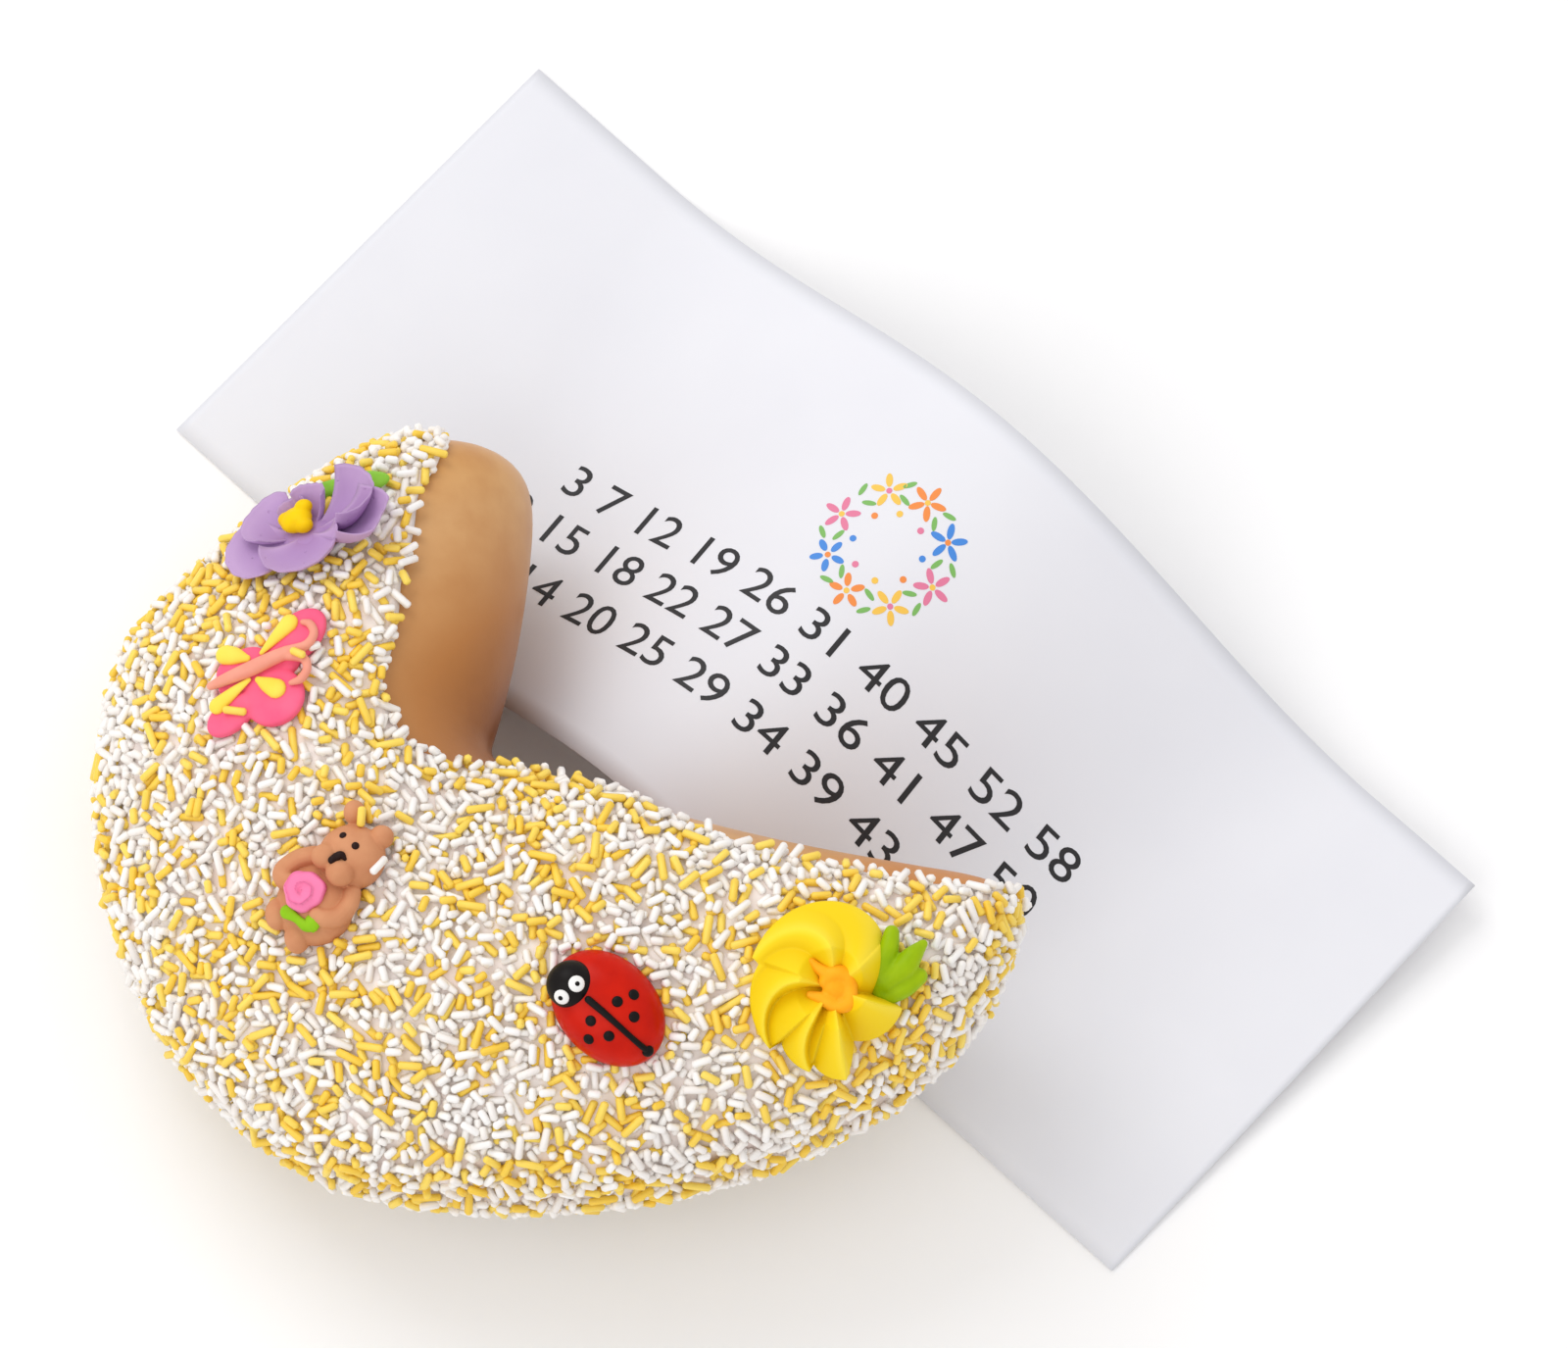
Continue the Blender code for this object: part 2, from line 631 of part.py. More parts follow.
def star_flower(petals, height, hollow):
    """A piped flower whose petals are swirled ridges with creases between them."""
    rings, spokes = 5, 42
    points = [Vector((0, 0, hollow))]
    for i in range(1, rings + 1):
        out = i / rings
        for j in range(spokes):
            turn = 360 * j / spokes
            reach, ridge = 7.0, 0.0
            for bearing, half, length in petals:
                off = ((turn - bearing + 180) % 360 - 180) / half
                reach = max(reach, length * (1 - 0.30 * off * off))
                slid = ((turn - bearing - 26 * (1 - out) + 180) % 360 - 180) / half
                ridge = max(ridge, 1 - min(abs(slid), 1) ** 1.6)
            crown = math.sin(math.pi * min(out * 0.62 + 0.30, 1.0))
            up = hollow * (1 - out) + (height * (0.35 + 0.65 * ridge)) * crown * min(1.0, 2.2 * out)
            points.append(Vector((reach * out * math.cos(math.radians(turn)),
                                  reach * out * math.sin(math.radians(turn)), up)))
    last = 1 + (rings - 1) * spokes
    points += [Vector((p.x * 0.9, p.y * 0.9, -5.0)) for p in points[last:last + spokes]]
    points.append(Vector((0, 0, -5.0)))
    faces = [(0, 1 + j, 1 + (j + 1) % spokes) for j in range(spokes)]
    faces += grid_faces(rings + 1, spokes, first=1, closed=True)
    foot = 1 + rings * spokes
    faces += [(len(points) - 1, foot + (j + 1) % spokes, foot + j) for j in range(spokes)]
    return closed_mesh([p * MM for p in points], faces)


def seat(tree, x, y):
    """The frame that lies on the coating at a spot: X towards the right horn, Z straight out."""
    span, above, down = 8 * MM, 0.2, Vector((0, 0, -1))
    near = [Vector((x + a * span, y + b * span, above)) for a, b in ((1, 0), (-1, 0), (0, 1), (0, -1))]
    east, west, north, south = (tree.ray_cast(p, down)[0] for p in near)
    out = (east - west).cross(north - south).normalized()
    right = (Vector((1, 0, 0)) - out * out.x).normalized()
    frame = Matrix((right, out.cross(right), out)).transposed().to_4x4()
    frame.translation = tree.ray_cast(Vector((x, y, above)), down)[0]
    return frame


def icing(name, shapes, frame, finish, carved_by=()):
    """Joins shapes, seats them and trims them clear of the coating and of other icing."""
    first, *rest = [add_object(name if i == 0 else f"{name}_{i}", s) for i, s in enumerate(shapes)]
    if rest:
        boolean(first, rest, "UNION")
    if carved_by:
        boolean(first, [add_object(f"clear_{i}", s) for i, s in enumerate(carved_by)], "DIFFERENCE")
    first.data.transform(frame)
    boolean(first, [add_object("clear", whole_cookie(COAT_OUTSIDE + CUT_CLEAR))], "DIFFERENCE")
    first.data.materials.clear()
    first.data.materials.append(finish)
    first.data.shade_smooth()
    return first


def button(name, hosts, frame, x, y, radius, height, finish):
    """A small round drop of icing that lies on another piece, a hair above it."""
    start, down = frame @ (Vector((x, y, 30)) * MM), -frame.col[2].xyz
    scene_now = bpy.context.evaluated_depsgraph_get()
    hits = [BVHTree.FromObject(host, scene_now).ray_cast(start, down) for host in hosts]
    spot, out = min((h[:2] for h in hits if h[0]), key=lambda h: (h[0] - start).length)
    sides = 8
    bm = bmesh.new()
    rings = [[], []]
    for ring, share, up in ((rings[0], 1.0, 0.0), (rings[1], 0.75, 0.65)):
        for k in range(sides):
            turn = 2 * math.pi * k / sides
            ring.append(bm.verts.new(Vector((share * radius * math.cos(turn),
                                             share * radius * math.sin(turn), up * height)) * MM))
    top = bm.verts.new((0, 0, height * MM))
    for k in range(sides):
        n = (k + 1) % sides
        bm.faces.new((rings[0][k], rings[0][n], rings[1][n], rings[1][k]))
        bm.faces.new((rings[1][k], rings[1][n], top))
    bm.faces.new(rings[0][::-1])
    place = Matrix.Translation(spot + out * BUTTON_GAP) @ out.to_track_quat("Z", "X").to_matrix().to_4x4()
    bmesh.ops.transform(bm, matrix=place, verts=bm.verts)
    return add_object(name, bm, finish)


def grown(centre, radii, turn=0.0, **fineness):
    """A ball a small gap larger all round, to carve room for the ball itself."""
    return ball(centre, [r + CUT_CLEAR / MM for r in radii], turn, **fineness)


def build_violet(tree, colours):
    frame = seat(tree, *VIOLET_AT)
    centre = ((-1.2, 0.4, 4.2), (4.0, 3.8, 3.6))
    leaf = ((10.5, 9.0, 1.6), (7.5, 3.0, 1.5), -12)
    petals = [petal(*values, start=(0, -1.5, 0)) for values in VIOLET_PETALS]
    petals.append(ball((0, -1.5, 1.0), (6.0, 6.0, 2.2)))
    icing("violet_petals", petals, frame, colours["violet"], [grown(*centre), grown(*leaf)])
    icing("violet_centre", [ball(*centre)], frame, colours["gold"])
    icing("violet_leaf", [ball(*leaf, sides=12)], frame, colours["leaf green"])
    return frame


def build_butterfly(tree, colours):
    frame = seat(tree, *BUTTERFLY_AT)
    body = ([(-10.5, -2.6, 2.7), (-7, -1.7, 2.9), (-2, -0.4, 3.2), (3, 1.3, 3.2), (6.7, 2.3, 3.0),
             (10.0, 3.2, 2.9), (11.6, 5.4, 2.9), (10.8, 7.6, 2.9), (9.2, 8.3, 2.9)],
            [0.8, 1.2, 1.5, 1.5, 1.4, 1.0, 0.9, 0.9, 0.7])
    feeler = ([(5.6, 1.8, 3.0), (9.2, 0.6, 2.9), (10.3, -1.7, 2.9), (9.0, -3.9, 2.9), (6.9, -4.5, 2.9)],
              [1.0, 1.0, 0.9, 0.9, 0.7])
    clear = CUT_CLEAR / MM
    room = [rope(*body, clear), rope(*feeler, clear)]
    room += [grown(*spot) for spot in BUTTERFLY_SPOTS]
    wings = [ball(*wing, sides=14) for wing in [*BUTTERFLY_WINGS, BUTTERFLY_WEB]]
    icing("butterfly_wings", wings, frame, colours["pink"], room)
    icing("butterfly_body", [rope(*body), rope(*feeler)], frame, colours["peach"])
    for i, spot in enumerate(BUTTERFLY_SPOTS, 1):
        room = [rope(*body, clear), rope(*feeler, clear)]
        icing(f"butterfly_spot_{i}", [ball(*spot)], frame, colours["pale yellow"], room)
    return frame


def build_bear(tree, colours):
    frame = seat(tree, *BEAR_AT)
    rose, leaf = ((-0.7, 2.0, 6.2), (4.4, 4.2, 2.0)), ((-1.5, -4.3, 4.9), (3.2, 2.0, 1.5), 15)
    shapes = [
        ball((0, 0, 0.5), (8.2, 8.4, 5.0), sides=12),
        ball((7.6, 9.0, 0.8), (6.9, 6.6, 6.0), sides=12),
    ]
    shapes += [ball(centre, radii, sides=7, rings=4) for centre, radii in BEAR_SMALL_PARTS]
    shapes += [ball(centre, radii, sides=6, rings=4) for centre, radii in BEAR_FEATURES]
    icing("bear", shapes, frame, colours["tan"], [grown(*rose), grown(*leaf)])
    icing("bear_rose", [ball(*rose, sides=12)], frame, colours["rose"])
    icing("bear_leaf", [ball(*leaf)], frame, colours["leaf green"], [grown(*rose)])
    return frame


def build_ladybug(tree, colours):
    frame = seat(tree, *LADYBUG_AT)
    head = ((-6.2, 4.2, 4.2), (5.0, 4.9, 4.4))
    shell = ball((0.8, -0.4, 0.2), (13.0, 9.8, 7.4), -47, sides=18, rings=8)
    body = icing("ladybug_shell", [shell], frame, colours["red"], [grown(*head)])
    face = icing("ladybug_head", [ball(*head)], frame, colours["black"])
    for name, x, y, radius, colour in LADYBUG_FEATURES:
        button(name, [body, face], frame, x, y, radius, 0.7 * radius, colours[colour])
    start, end = Vector((-1.6, 0.6)), Vector((8.6, -8.6))
    line, tree_top = [], BVHTree.FromObject(body, bpy.context.evaluated_depsgraph_get())
    for i in range(9):
        flat = start.lerp(end, i / 8)
        hit = tree_top.ray_cast(frame @ (Vector((*flat, 30)) * MM), -frame.col[2].xyz)
        lifted = frame.inverted() @ (hit[0] + hit[1] * (BUTTON_GAP + 0.75 * MM))
        line.append(lifted / MM)
    icing("ladybug_line", [rope(line, [0.6] * 8 + [1.2], sides=5)], frame, colours["black"])
    return frame


def build_drop_flower(tree, colours):
    frame = seat(tree, *DROP_FLOWER_AT)
    centre = ((1.1, -0.5, 7.2), (4.6, 4.4, 2.6))
    leaf = dict(bearing=8, lift=1.5, cup=1.5, ruffle=1.2)
    room = petal(length=11.7, width=15.2, start=(8.6, 3.6, 1.15), thick=2.8, **leaf)
    leaf = petal(length=10.5, width=14, start=(9.2, 3.6, 0.6), **leaf)
    flower = star_flower(DROP_PETALS, 10.5, 5.0)
    icing("drop_flower", [flower], frame, colours["yellow"], [grown(*centre), room])
    icing("drop_flower_centre", [ball(*centre)], frame, colours["orange"])
    icing("drop_flower_leaf", [leaf], frame, colours["leaf green"])
    return frame


def build():
    for thing in list(bpy.data.objects):
        bpy.data.objects.remove(thing)
    colours = {name: material(name, colour, rough) for name, (colour, rough) in FINISHES.items()}
    add_object("baked_cookie", whole_cookie(0.0), colours["baked wafer"])
    skin = add_object("white_coating", coating_mesh(), colours["white coating"])
    add_object("message_slip", slip_mesh(), colours["paper"])
    tree = BVHTree.FromBMesh(whole_cookie(COAT_OUTSIDE))
    groups = [build_violet, build_butterfly, build_bear, build_ladybug, build_drop_flower]
    spots = [(make(tree, colours).translation, room * MM) for make, room in zip(groups, GROUP_ROOM)]
    add_sprinkles(skin, spots)


build()
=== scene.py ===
import math
import random

import bmesh
import bpy
import numpy as np
from mathutils import Matrix, Vector
from mathutils.bvhtree import BVHTree


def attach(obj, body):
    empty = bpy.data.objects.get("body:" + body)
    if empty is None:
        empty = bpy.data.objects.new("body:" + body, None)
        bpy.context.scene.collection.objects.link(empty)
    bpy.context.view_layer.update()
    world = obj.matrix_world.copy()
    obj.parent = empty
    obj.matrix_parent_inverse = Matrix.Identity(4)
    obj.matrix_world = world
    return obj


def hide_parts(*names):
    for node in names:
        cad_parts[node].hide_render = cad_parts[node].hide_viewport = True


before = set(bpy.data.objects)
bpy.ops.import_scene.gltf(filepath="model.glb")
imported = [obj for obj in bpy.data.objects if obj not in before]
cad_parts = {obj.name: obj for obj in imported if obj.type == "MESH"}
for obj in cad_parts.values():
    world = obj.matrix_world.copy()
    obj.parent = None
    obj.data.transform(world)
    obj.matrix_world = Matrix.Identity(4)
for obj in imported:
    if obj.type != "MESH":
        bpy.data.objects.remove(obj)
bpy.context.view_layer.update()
mm = 0.001
print("frame loaded")


def hexColour(text):
    parts = [int(text[i : i + 2], 16) / 255 for i in (1, 3, 5)]
    return (*(p / 12.92 if p <= 0.04045 else ((p + 0.055) / 1.055) ** 2.4 for p in parts), 1.0)


def addNode(tree, kind, settings=None, **links):
    # settings set properties, sockets or a ramp's stops; in links, i1 is socket 1 and _ stands for a space
    node = tree.nodes.new(kind)
    for key, value in (settings or {}).items():
        if key == "stops":
            ramp = node.color_ramp.elements
            while len(ramp) < len(value):
                ramp.new(0.5)
            for element, (place, colour) in zip(ramp, value):
                element.position = place
                element.color = hexColour(colour)
        elif hasattr(node, str(key)):
            setattr(node, key, value)
        else:
            node.inputs[key].default_value = value
    for key, source in links.items():
        socket = int(key[1:]) if key[1:].isdigit() else key.replace("_", " ")
        tree.links.new(source, node.inputs[socket])
    return node


def newMaterial(name):
    material = bpy.data.materials.new(name)
    material.use_nodes = True
    tree = material.node_tree
    return material, tree, tree.nodes["Principled BSDF"]


def finishMaterial(tree, shader, colour, normal=None, roughness=0.5, sheen=0.5):
    tree.links.new(colour, shader.inputs["Base Color"])
    if normal:
        tree.links.new(normal, shader.inputs["Normal"])
    shader.inputs["Roughness"].default_value = roughness
    shader.inputs["Specular IOR Level"].default_value = sheen


def pieceFrom(name, data):
    piece = bpy.data.objects.new(name, data)
    bpy.context.scene.collection.objects.link(piece)
    return piece


def applied(holder, name):
    # what the modifiers or the text make of it, as a plain mesh piece
    bpy.context.view_layer.update()
    mesh = bpy.data.meshes.new_from_object(holder.evaluated_get(bpy.context.evaluated_depsgraph_get()))
    bpy.data.objects.remove(holder)
    mesh.name = name
    return pieceFrom(name, mesh)


def ease(value):
    value = np.clip(value, 0.0, 1.0)
    return value * value * (3 - 2 * value)


def blend(start, end, share):
    return start + (end - start) * share


# The cookie's form: the CAD shells' own rule, at finer steps. It is folded round a bent crease from which
# a section reaches out at each station, and each horn shrinks to a blunt end

cookie = {
    "creaseAt": (-53.5 * mm, -31.5 * mm),
    "foldHeight": 39 * mm,
    "tilt": (0.10, -0.035),
    "horns": {"left": 64 * mm, "right": 106 * mm},
    "bearings": {
        "left": (math.radians(164), math.radians(181)),
        "right": (math.radians(247.5), math.radians(263.5)),
    },
    "cornerRadius": 5 * mm,
    "reach": (75 * mm, 88 * mm),
    "taper": {"left": (1.5, 1.55), "right": (1.6, 1.9), "corner": (2, 2)},
    "ends": {"left": 24 * mm, "right": 5 * mm, "corner": 5 * mm},
    "endPower": 14,
    "endCap": 0.3,
    "swell": 0.012,
    "nose": (27 * mm, 22 * mm),
    "halfHeights": (23 * mm, 34 * mm),
    "lowerShare": 1.045,
    "creaseDent": (0.30, 13 * mm, 24 * mm),
    "wall": 3.2 * mm,
    "seam": (3.0 * mm, 5.4 * mm),
    "seamDepth": 11 * mm,
    "seamClosing": (0.45, 0.70),
    "rimRound": 0.7 * mm,
    "coatInside": 0.45 * mm,
    "coatOutside": 1.3 * mm,
    "solidOutside": 2.3 * mm,
    "topEdges": (math.radians(83), math.radians(40), math.radians(57)),
    "underEdges": (math.radians(72), math.radians(52)),
    "steps": (30, 20, 44),
    "shellSteps": 30,
    "noseSteps": 14,
}


def foldStations():
    leftSteps, cornerSteps, rightSteps = cookie["steps"]
    left = [("left", math.sin(math.pi / 2 * (1 - i / leftSteps)), 0.0) for i in range(leftSteps)]
    corner = [("corner", 0.0, i / cornerSteps) for i in range(cornerSteps + 1)]
    right = [("right", math.sin(math.pi / 2 * (i + 1) / rightSteps), 1.0) for i in range(rightSteps)]
    return left + corner + right


def bluntness(along):
    return math.sqrt(max(0.0, 1 - along ** cookie["endPower"]))


def foldPoint(horn, along, grown):
    radius = cookie["cornerRadius"]
    bearings = cookie["bearings"]
    if horn == "corner":
        bearing = blend(bearings["left"][0], bearings["right"][0], along)
        return radius * math.cos(bearing), radius * math.sin(bearing), bearing
    first, last = bearings[horn]
    length = cookie["horns"][horn]
    turn = -math.pi / 2 if horn == "left" else math.pi / 2
    bend = (last - first) / length
    bearing = first + bend * (along * length + grown * max(0.0, 1 - bluntness(along) / cookie["endCap"]))
    x = radius * math.cos(first) + (math.sin(bearing + turn) - math.sin(first + turn)) / bend
    y = radius * math.sin(first) - (math.cos(bearing + turn) - math.cos(first + turn)) / bend
    return x, y, bearing


def shellCurve(inner, rim, nose, half, lip, edge):
    nose = min(nose, 0.5 * (rim - inner))
    around = np.linspace(0, math.pi / 2, 61)
    out = np.sin(np.linspace(0, math.pi / 2, 90))[1:]
    d = np.concatenate([inner + nose * (1 - np.cos(around)), inner + nose + (rim - inner - nose) * out])
    z = np.concatenate([half * np.sin(around), lip + (half - lip) * (1 - out**2) ** (2 / 3)])
    stretch = np.concatenate([[0], np.cumsum(np.hypot(np.diff(d), np.diff(z)))])
    return d, z, stretch, np.interp(edge, around, stretch[:61])


def section(station, grown, edgeShift=0.0):
    horn, along, corner = station
    taper = cookie["taper"][horn]
    end = cookie["ends"][horn]
    blunt = bluntness(along)
    reach = blend(*cookie["reach"], corner) * (1 - cookie["swell"] * math.sin(5 * corner + 3.5 * along))
    outer = end + (reach - end) * max(0.0, 1 - along ** taper[0]) ** (1 / taper[1])
    inner = end - end * blunt
    half = blend(*cookie["halfHeights"], math.cos(math.pi / 2 * along) ** 1.5) * blunt
    seam = blend(*cookie["seam"], ease(0.5 * corner + 1.2 * along * (horn == "right")))
    closed, opened = cookie["seamClosing"]
    closing = ease((blunt - closed) / (opened - closed))
    opening = min(seam, 0.25 * half)
    opening = closing * max(opening - grown, 0.15 * opening)
    depth = closing * min(cookie["seamDepth"], 0.35 * (outer - inner))
    more = grown * min(1.0, blunt / cookie["endCap"])
    outer, inner, half = outer + more, inner - more, half + more
    lip = min(seam + cookie["wall"], 0.55 * half)
    rim = outer - min(cookie["rimRound"], 0.2 * (outer - inner))
    nose = blend(*cookie["nose"], corner)
    topEdge = blend(cookie["topEdges"][0], cookie["topEdges"][1], corner**1.6)
    if horn == "right":
        topEdge = blend(cookie["topEdges"][1], cookie["topEdges"][2], ease((along - 0.2) / 0.3))
    underEdge = blend(*cookie["underEdges"], ease(corner))
    gone = 0.0 if horn == "corner" else along * cookie["horns"][horn]

    def sampled(edge, share):
        d, z, stretch, start = shellCurve(inner, rim, nose, half * share, lip, edge)
        steps = np.linspace(start, stretch[-1], cookie["shellSteps"] + 1)
        bare = np.linspace(0, start, cookie["noseSteps"] + 1)
        return [(np.interp(s, stretch, d), np.interp(s, stretch, z)) for s in (steps, bare)]

    (topD, topZ), (topBareD, topBareZ) = sampled(topEdge + edgeShift, 1.0)
    (lowD, lowZ), (lowBareD, lowBareZ) = sampled(underEdge + edgeShift, cookie["lowerShare"])
    groove = [(outer, (lip + opening) / 2), (rim, opening)]
    groove += [(rim - depth * s, opening * (1 - s)) for s in (0.33, 0.66)] + [(rim - depth, 0.0)]
    groove += [(d, -z) for d, z in groove[::-1][1:]]
    coated = list(zip(topD, topZ)) + groove + list(zip(lowD[::-1], -lowZ[::-1]))
    bare = list(zip(lowBareD[::-1][1:], -lowBareZ[::-1][1:])) + list(zip(topBareD[1:-1], topBareZ[1:-1]))
    dentDepth, dentAlong, dentAcross = cookie["creaseDent"]

    def dented(pair):
        d, z = pair
        return d, z * (1 - dentDepth * math.exp(-((gone / dentAlong) ** 2) - (max(d, 0) / dentAcross) ** 2))

    return [dented(p) for p in coated], [dented(p) for p in bare]


def placed(station, pair, grown):
    x, y, bearing = foldPoint(station[0], station[2] if station[0] == "corner" else station[1], grown)
    x += pair[0] * math.cos(bearing)
    y += pair[0] * math.sin(bearing)
    z = cookie["foldHeight"] + cookie["tilt"][0] * x + cookie["tilt"][1] * y + pair[1]
    return (x + cookie["creaseAt"][0], y + cookie["creaseAt"][1], max(z, cookie["solidOutside"] - grown))


def cookieRings(grown, wavy=0.0):
    # wavy moves the coating's edge to and fro, as icing that ran to an uneven stop
    rings = []
    for i, station in enumerate(foldStations()):
        shift = wavy * (math.sin(i * 0.37) + 0.6 * math.sin(i * 0.83 + 1)) * bluntness(station[1])
        coated, bare = section(station, grown, shift)
        rings.append([[placed(station, pair, grown) for pair in half] for half in (coated, bare)])
    return rings


def gridFaces(rows, columns, first=0, closed=False):
    faces = []
    for i in range(rows - 1):
        for j in range(columns if closed else columns - 1):
            k = (j + 1) % columns
            a, b = first + i * columns, first + (i + 1) * columns
            faces.append((a + j, a + k, b + k, b + j))
    return faces


def sheetFaces(rows, columns):
    # a sheet with two sides: all the points of one side come first, then all of the other's
    shift = rows * columns
    faces = gridFaces(rows, columns)
    faces += [tuple(i + shift for i in face[::-1]) for face in faces]
    rim = list(range(columns)) + [i * columns + columns - 1 for i in range(1, rows)]
    rim += [(rows - 1) * columns + j for j in range(columns - 2, -1, -1)]
    rim += [i * columns for i in range(rows - 2, 0, -1)]
    return faces + [(a, b, b + shift, a + shift) for a, b in zip(rim, rim[1:] + rim[:1])]


def moundFaces(rings, spokes):
    # a mound: its peak, its rings, one more ring at the foot and the foot's middle
    foot = 1 + rings * spokes
    faces = [(0, 1 + j, 1 + (j + 1) % spokes) for j in range(spokes)]
    faces += gridFaces(rings + 1, spokes, first=1, closed=True)
    return faces + [(foot + spokes, foot + (j + 1) % spokes, foot + j) for j in range(spokes)]


def joined(forms):
    points, faces = [], []
    for form in forms:
        faces += [tuple(len(points) + i for i in face) for face in form[1]]
        points += form[0]
    return points, faces


def meshPiece(name, points, faces, material=None, merge=0.02 * mm, tones=None):
    bm = bmesh.new()
    layer = bm.verts.layers.float.new("tone") if tones else None
    corners = [bm.verts.new(p) for p in points]
    for corner, tone in zip(corners, tones or []):
        corner[layer] = tone
    for face in faces:
        bm.faces.new([corners[i] for i in face])
    bmesh.ops.remove_doubles(bm, verts=bm.verts, dist=merge)
    bmesh.ops.dissolve_degenerate(bm, dist=merge, edges=bm.edges)
    bmesh.ops.recalc_face_normals(bm, faces=bm.faces)
    mesh = bpy.data.meshes.new(name)
    bm.to_mesh(mesh)
    bm.free()
    if material:
        mesh.materials.append(material)
    mesh.shade_smooth()
    return pieceFrom(name, mesh)


def standFor(piece, slot, *nodes):
    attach(piece, "root")
    if nodes:
        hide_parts(*nodes)


# The photo's own viewing angle, and the studio round the cookie

stage = {
    "elevation": 72,
    "distance": 3.2,
    "target": (0.0003, -0.0028, 0.0),
    "sensor": 36,
    "lens": 360,
    "photoCentre": (801.5, 674),
    "photoPixel": 0.2 * mm,
    "floor": "#FBFAF9",
    "floorHalf": 4,
    "floorDrop": 0.4 * mm,
    "sky": "#F4F4F6",
    "skyStrength": 0.92,
    # each lamp: where it hangs, its size and its power
    "lamps": {
        "keyLight": ((-0.7, 0.9, 1.5), 1.1, 9.5),
        "fillLight": ((-0.9, -0.8, 1.3), 1.4, 5.5),
    },
}


# Baked wafer: thin batter baked on hot plates, so satin and even; darker towards the crease, which is painted
# shade deep in the notch

wafer = {
    # tones by distance from the crease: painted shade at the crease, deep in the notch, giving way to the
    # wafer's own caramel further out
    "tones": [(0.0, "#884E22"), (0.28, "#B87A40"), (0.55, "#D1A06A"), (0.80, "#CD9450"), (1.0, "#C8823A")],
    "tonesFrom": 6 * mm,
    "tonesTo": 86 * mm,
    "blotch": "#B4763C",
    "blotchShare": 0.5,
    "mottleMm": 11,
    "poreMm": 0.8,
    "roughness": 0.36,
    "sheen": 0.3,
}


def waferMaterial():
    material, tree, shader = newMaterial("baked wafer, pressed and glazed")
    place = addNode(tree, "ShaderNodeTexCoord").outputs["Object"]
    # the distance from the crease sets the tone, so the painted shade gathers at the crease in the notch
    crease = (*cookie["creaseAt"], cookie["foldHeight"])
    away = addNode(tree, "ShaderNodeVectorMath", {"operation": "DISTANCE", 1: crease}, i0=place)
    span = {"From Min": wafer["tonesFrom"], "From Max": wafer["tonesTo"]}
    share = addNode(tree, "ShaderNodeMapRange", span, Value=away.outputs["Value"])
    tone = addNode(tree, "ShaderNodeValToRGB", {"stops": wafer["tones"]}, Fac=share.outputs["Result"])
    scale = {"Scale": 1000 / wafer["mottleMm"], "Detail": 5}
    mottle = addNode(tree, "ShaderNodeTexNoise", scale, Vector=place)
    span = {"From Min": 0.45, "From Max": 0.8, "To Max": wafer["blotchShare"]}
    patch = addNode(tree, "ShaderNodeMapRange", span, Value=mottle.outputs["Fac"])
    browned = addNode(
        tree,
        "ShaderNodeMix",
        {"data_type": "RGBA", 7: hexColour(wafer["blotch"])},
        Factor=patch.outputs["Result"],
        i6=tone.outputs["Color"],
    )
    pores = addNode(tree, "ShaderNodeTexNoise", {"Scale": 1000 / wafer["poreMm"], "Detail": 3}, Vector=place)
    depth = {"Strength": 0.12, "Distance": 0.2 * mm}
    normal = addNode(tree, "ShaderNodeBump", depth, Height=pores.outputs["Fac"]).outputs["Normal"]
    finishMaterial(tree, shader, browned.outputs[2], normal, wafer["roughness"], wafer["sheen"])
    return material


def waferPiece():
    rings = [coated + bare for coated, bare in cookieRings(0.0)]
    faces = gridFaces(len(rings), len(rings[0]), closed=True)
    return meshPiece("bakedWafer", [p for ring in rings for p in ring], faces, waferMaterial())


standFor(waferPiece(), "baked_wafer", "baked_cookie")
print("baked wafer made")

# White coating: poured confectionery that set satin, with a pink cast where it is thin and burst bubbles

coating = {
    "white": "#F3EBE6",
    "thin": "#EBDAD2",
    "patchMm": 14,
    "bubblesMm": 5,
    "edgeWave": 0.02,
    "roughness": 0.5,
}


def coatingMaterial():
    material, tree, shader = newMaterial("white coating, poured and set")
    place = addNode(tree, "ShaderNodeTexCoord").outputs["Object"]
    scale = {"Scale": 1000 / coating["patchMm"], "Detail": 3}
    patch = addNode(tree, "ShaderNodeTexNoise", scale, Vector=place)
    stops = [(0.35, coating["white"]), (0.7, coating["thin"])]
    tone = addNode(tree, "ShaderNodeValToRGB", {"stops": stops}, Fac=patch.outputs["Fac"])
    depth = {"Strength": 0.3, "Distance": 0.6 * mm}
    bump = addNode(tree, "ShaderNodeBump", depth, Height=patch.outputs["Fac"])
    dots = addNode(tree, "ShaderNodeTexVoronoi", {"Scale": 1000 / coating["bubblesMm"]}, Vector=place)
    span = {"From Min": 0.04, "From Max": 0.10}
    hole = addNode(tree, "ShaderNodeMapRange", span, Value=dots.outputs["Distance"]).outputs["Result"]
    depth = {"Strength": 0.8, "Distance": 0.5 * mm}
    pit = addNode(tree, "ShaderNodeBump", depth, Height=hole, Normal=bump.outputs["Normal"])
    finishMaterial(tree, shader, tone.outputs["Color"], pit.outputs["Normal"], coating["roughness"])
    return material


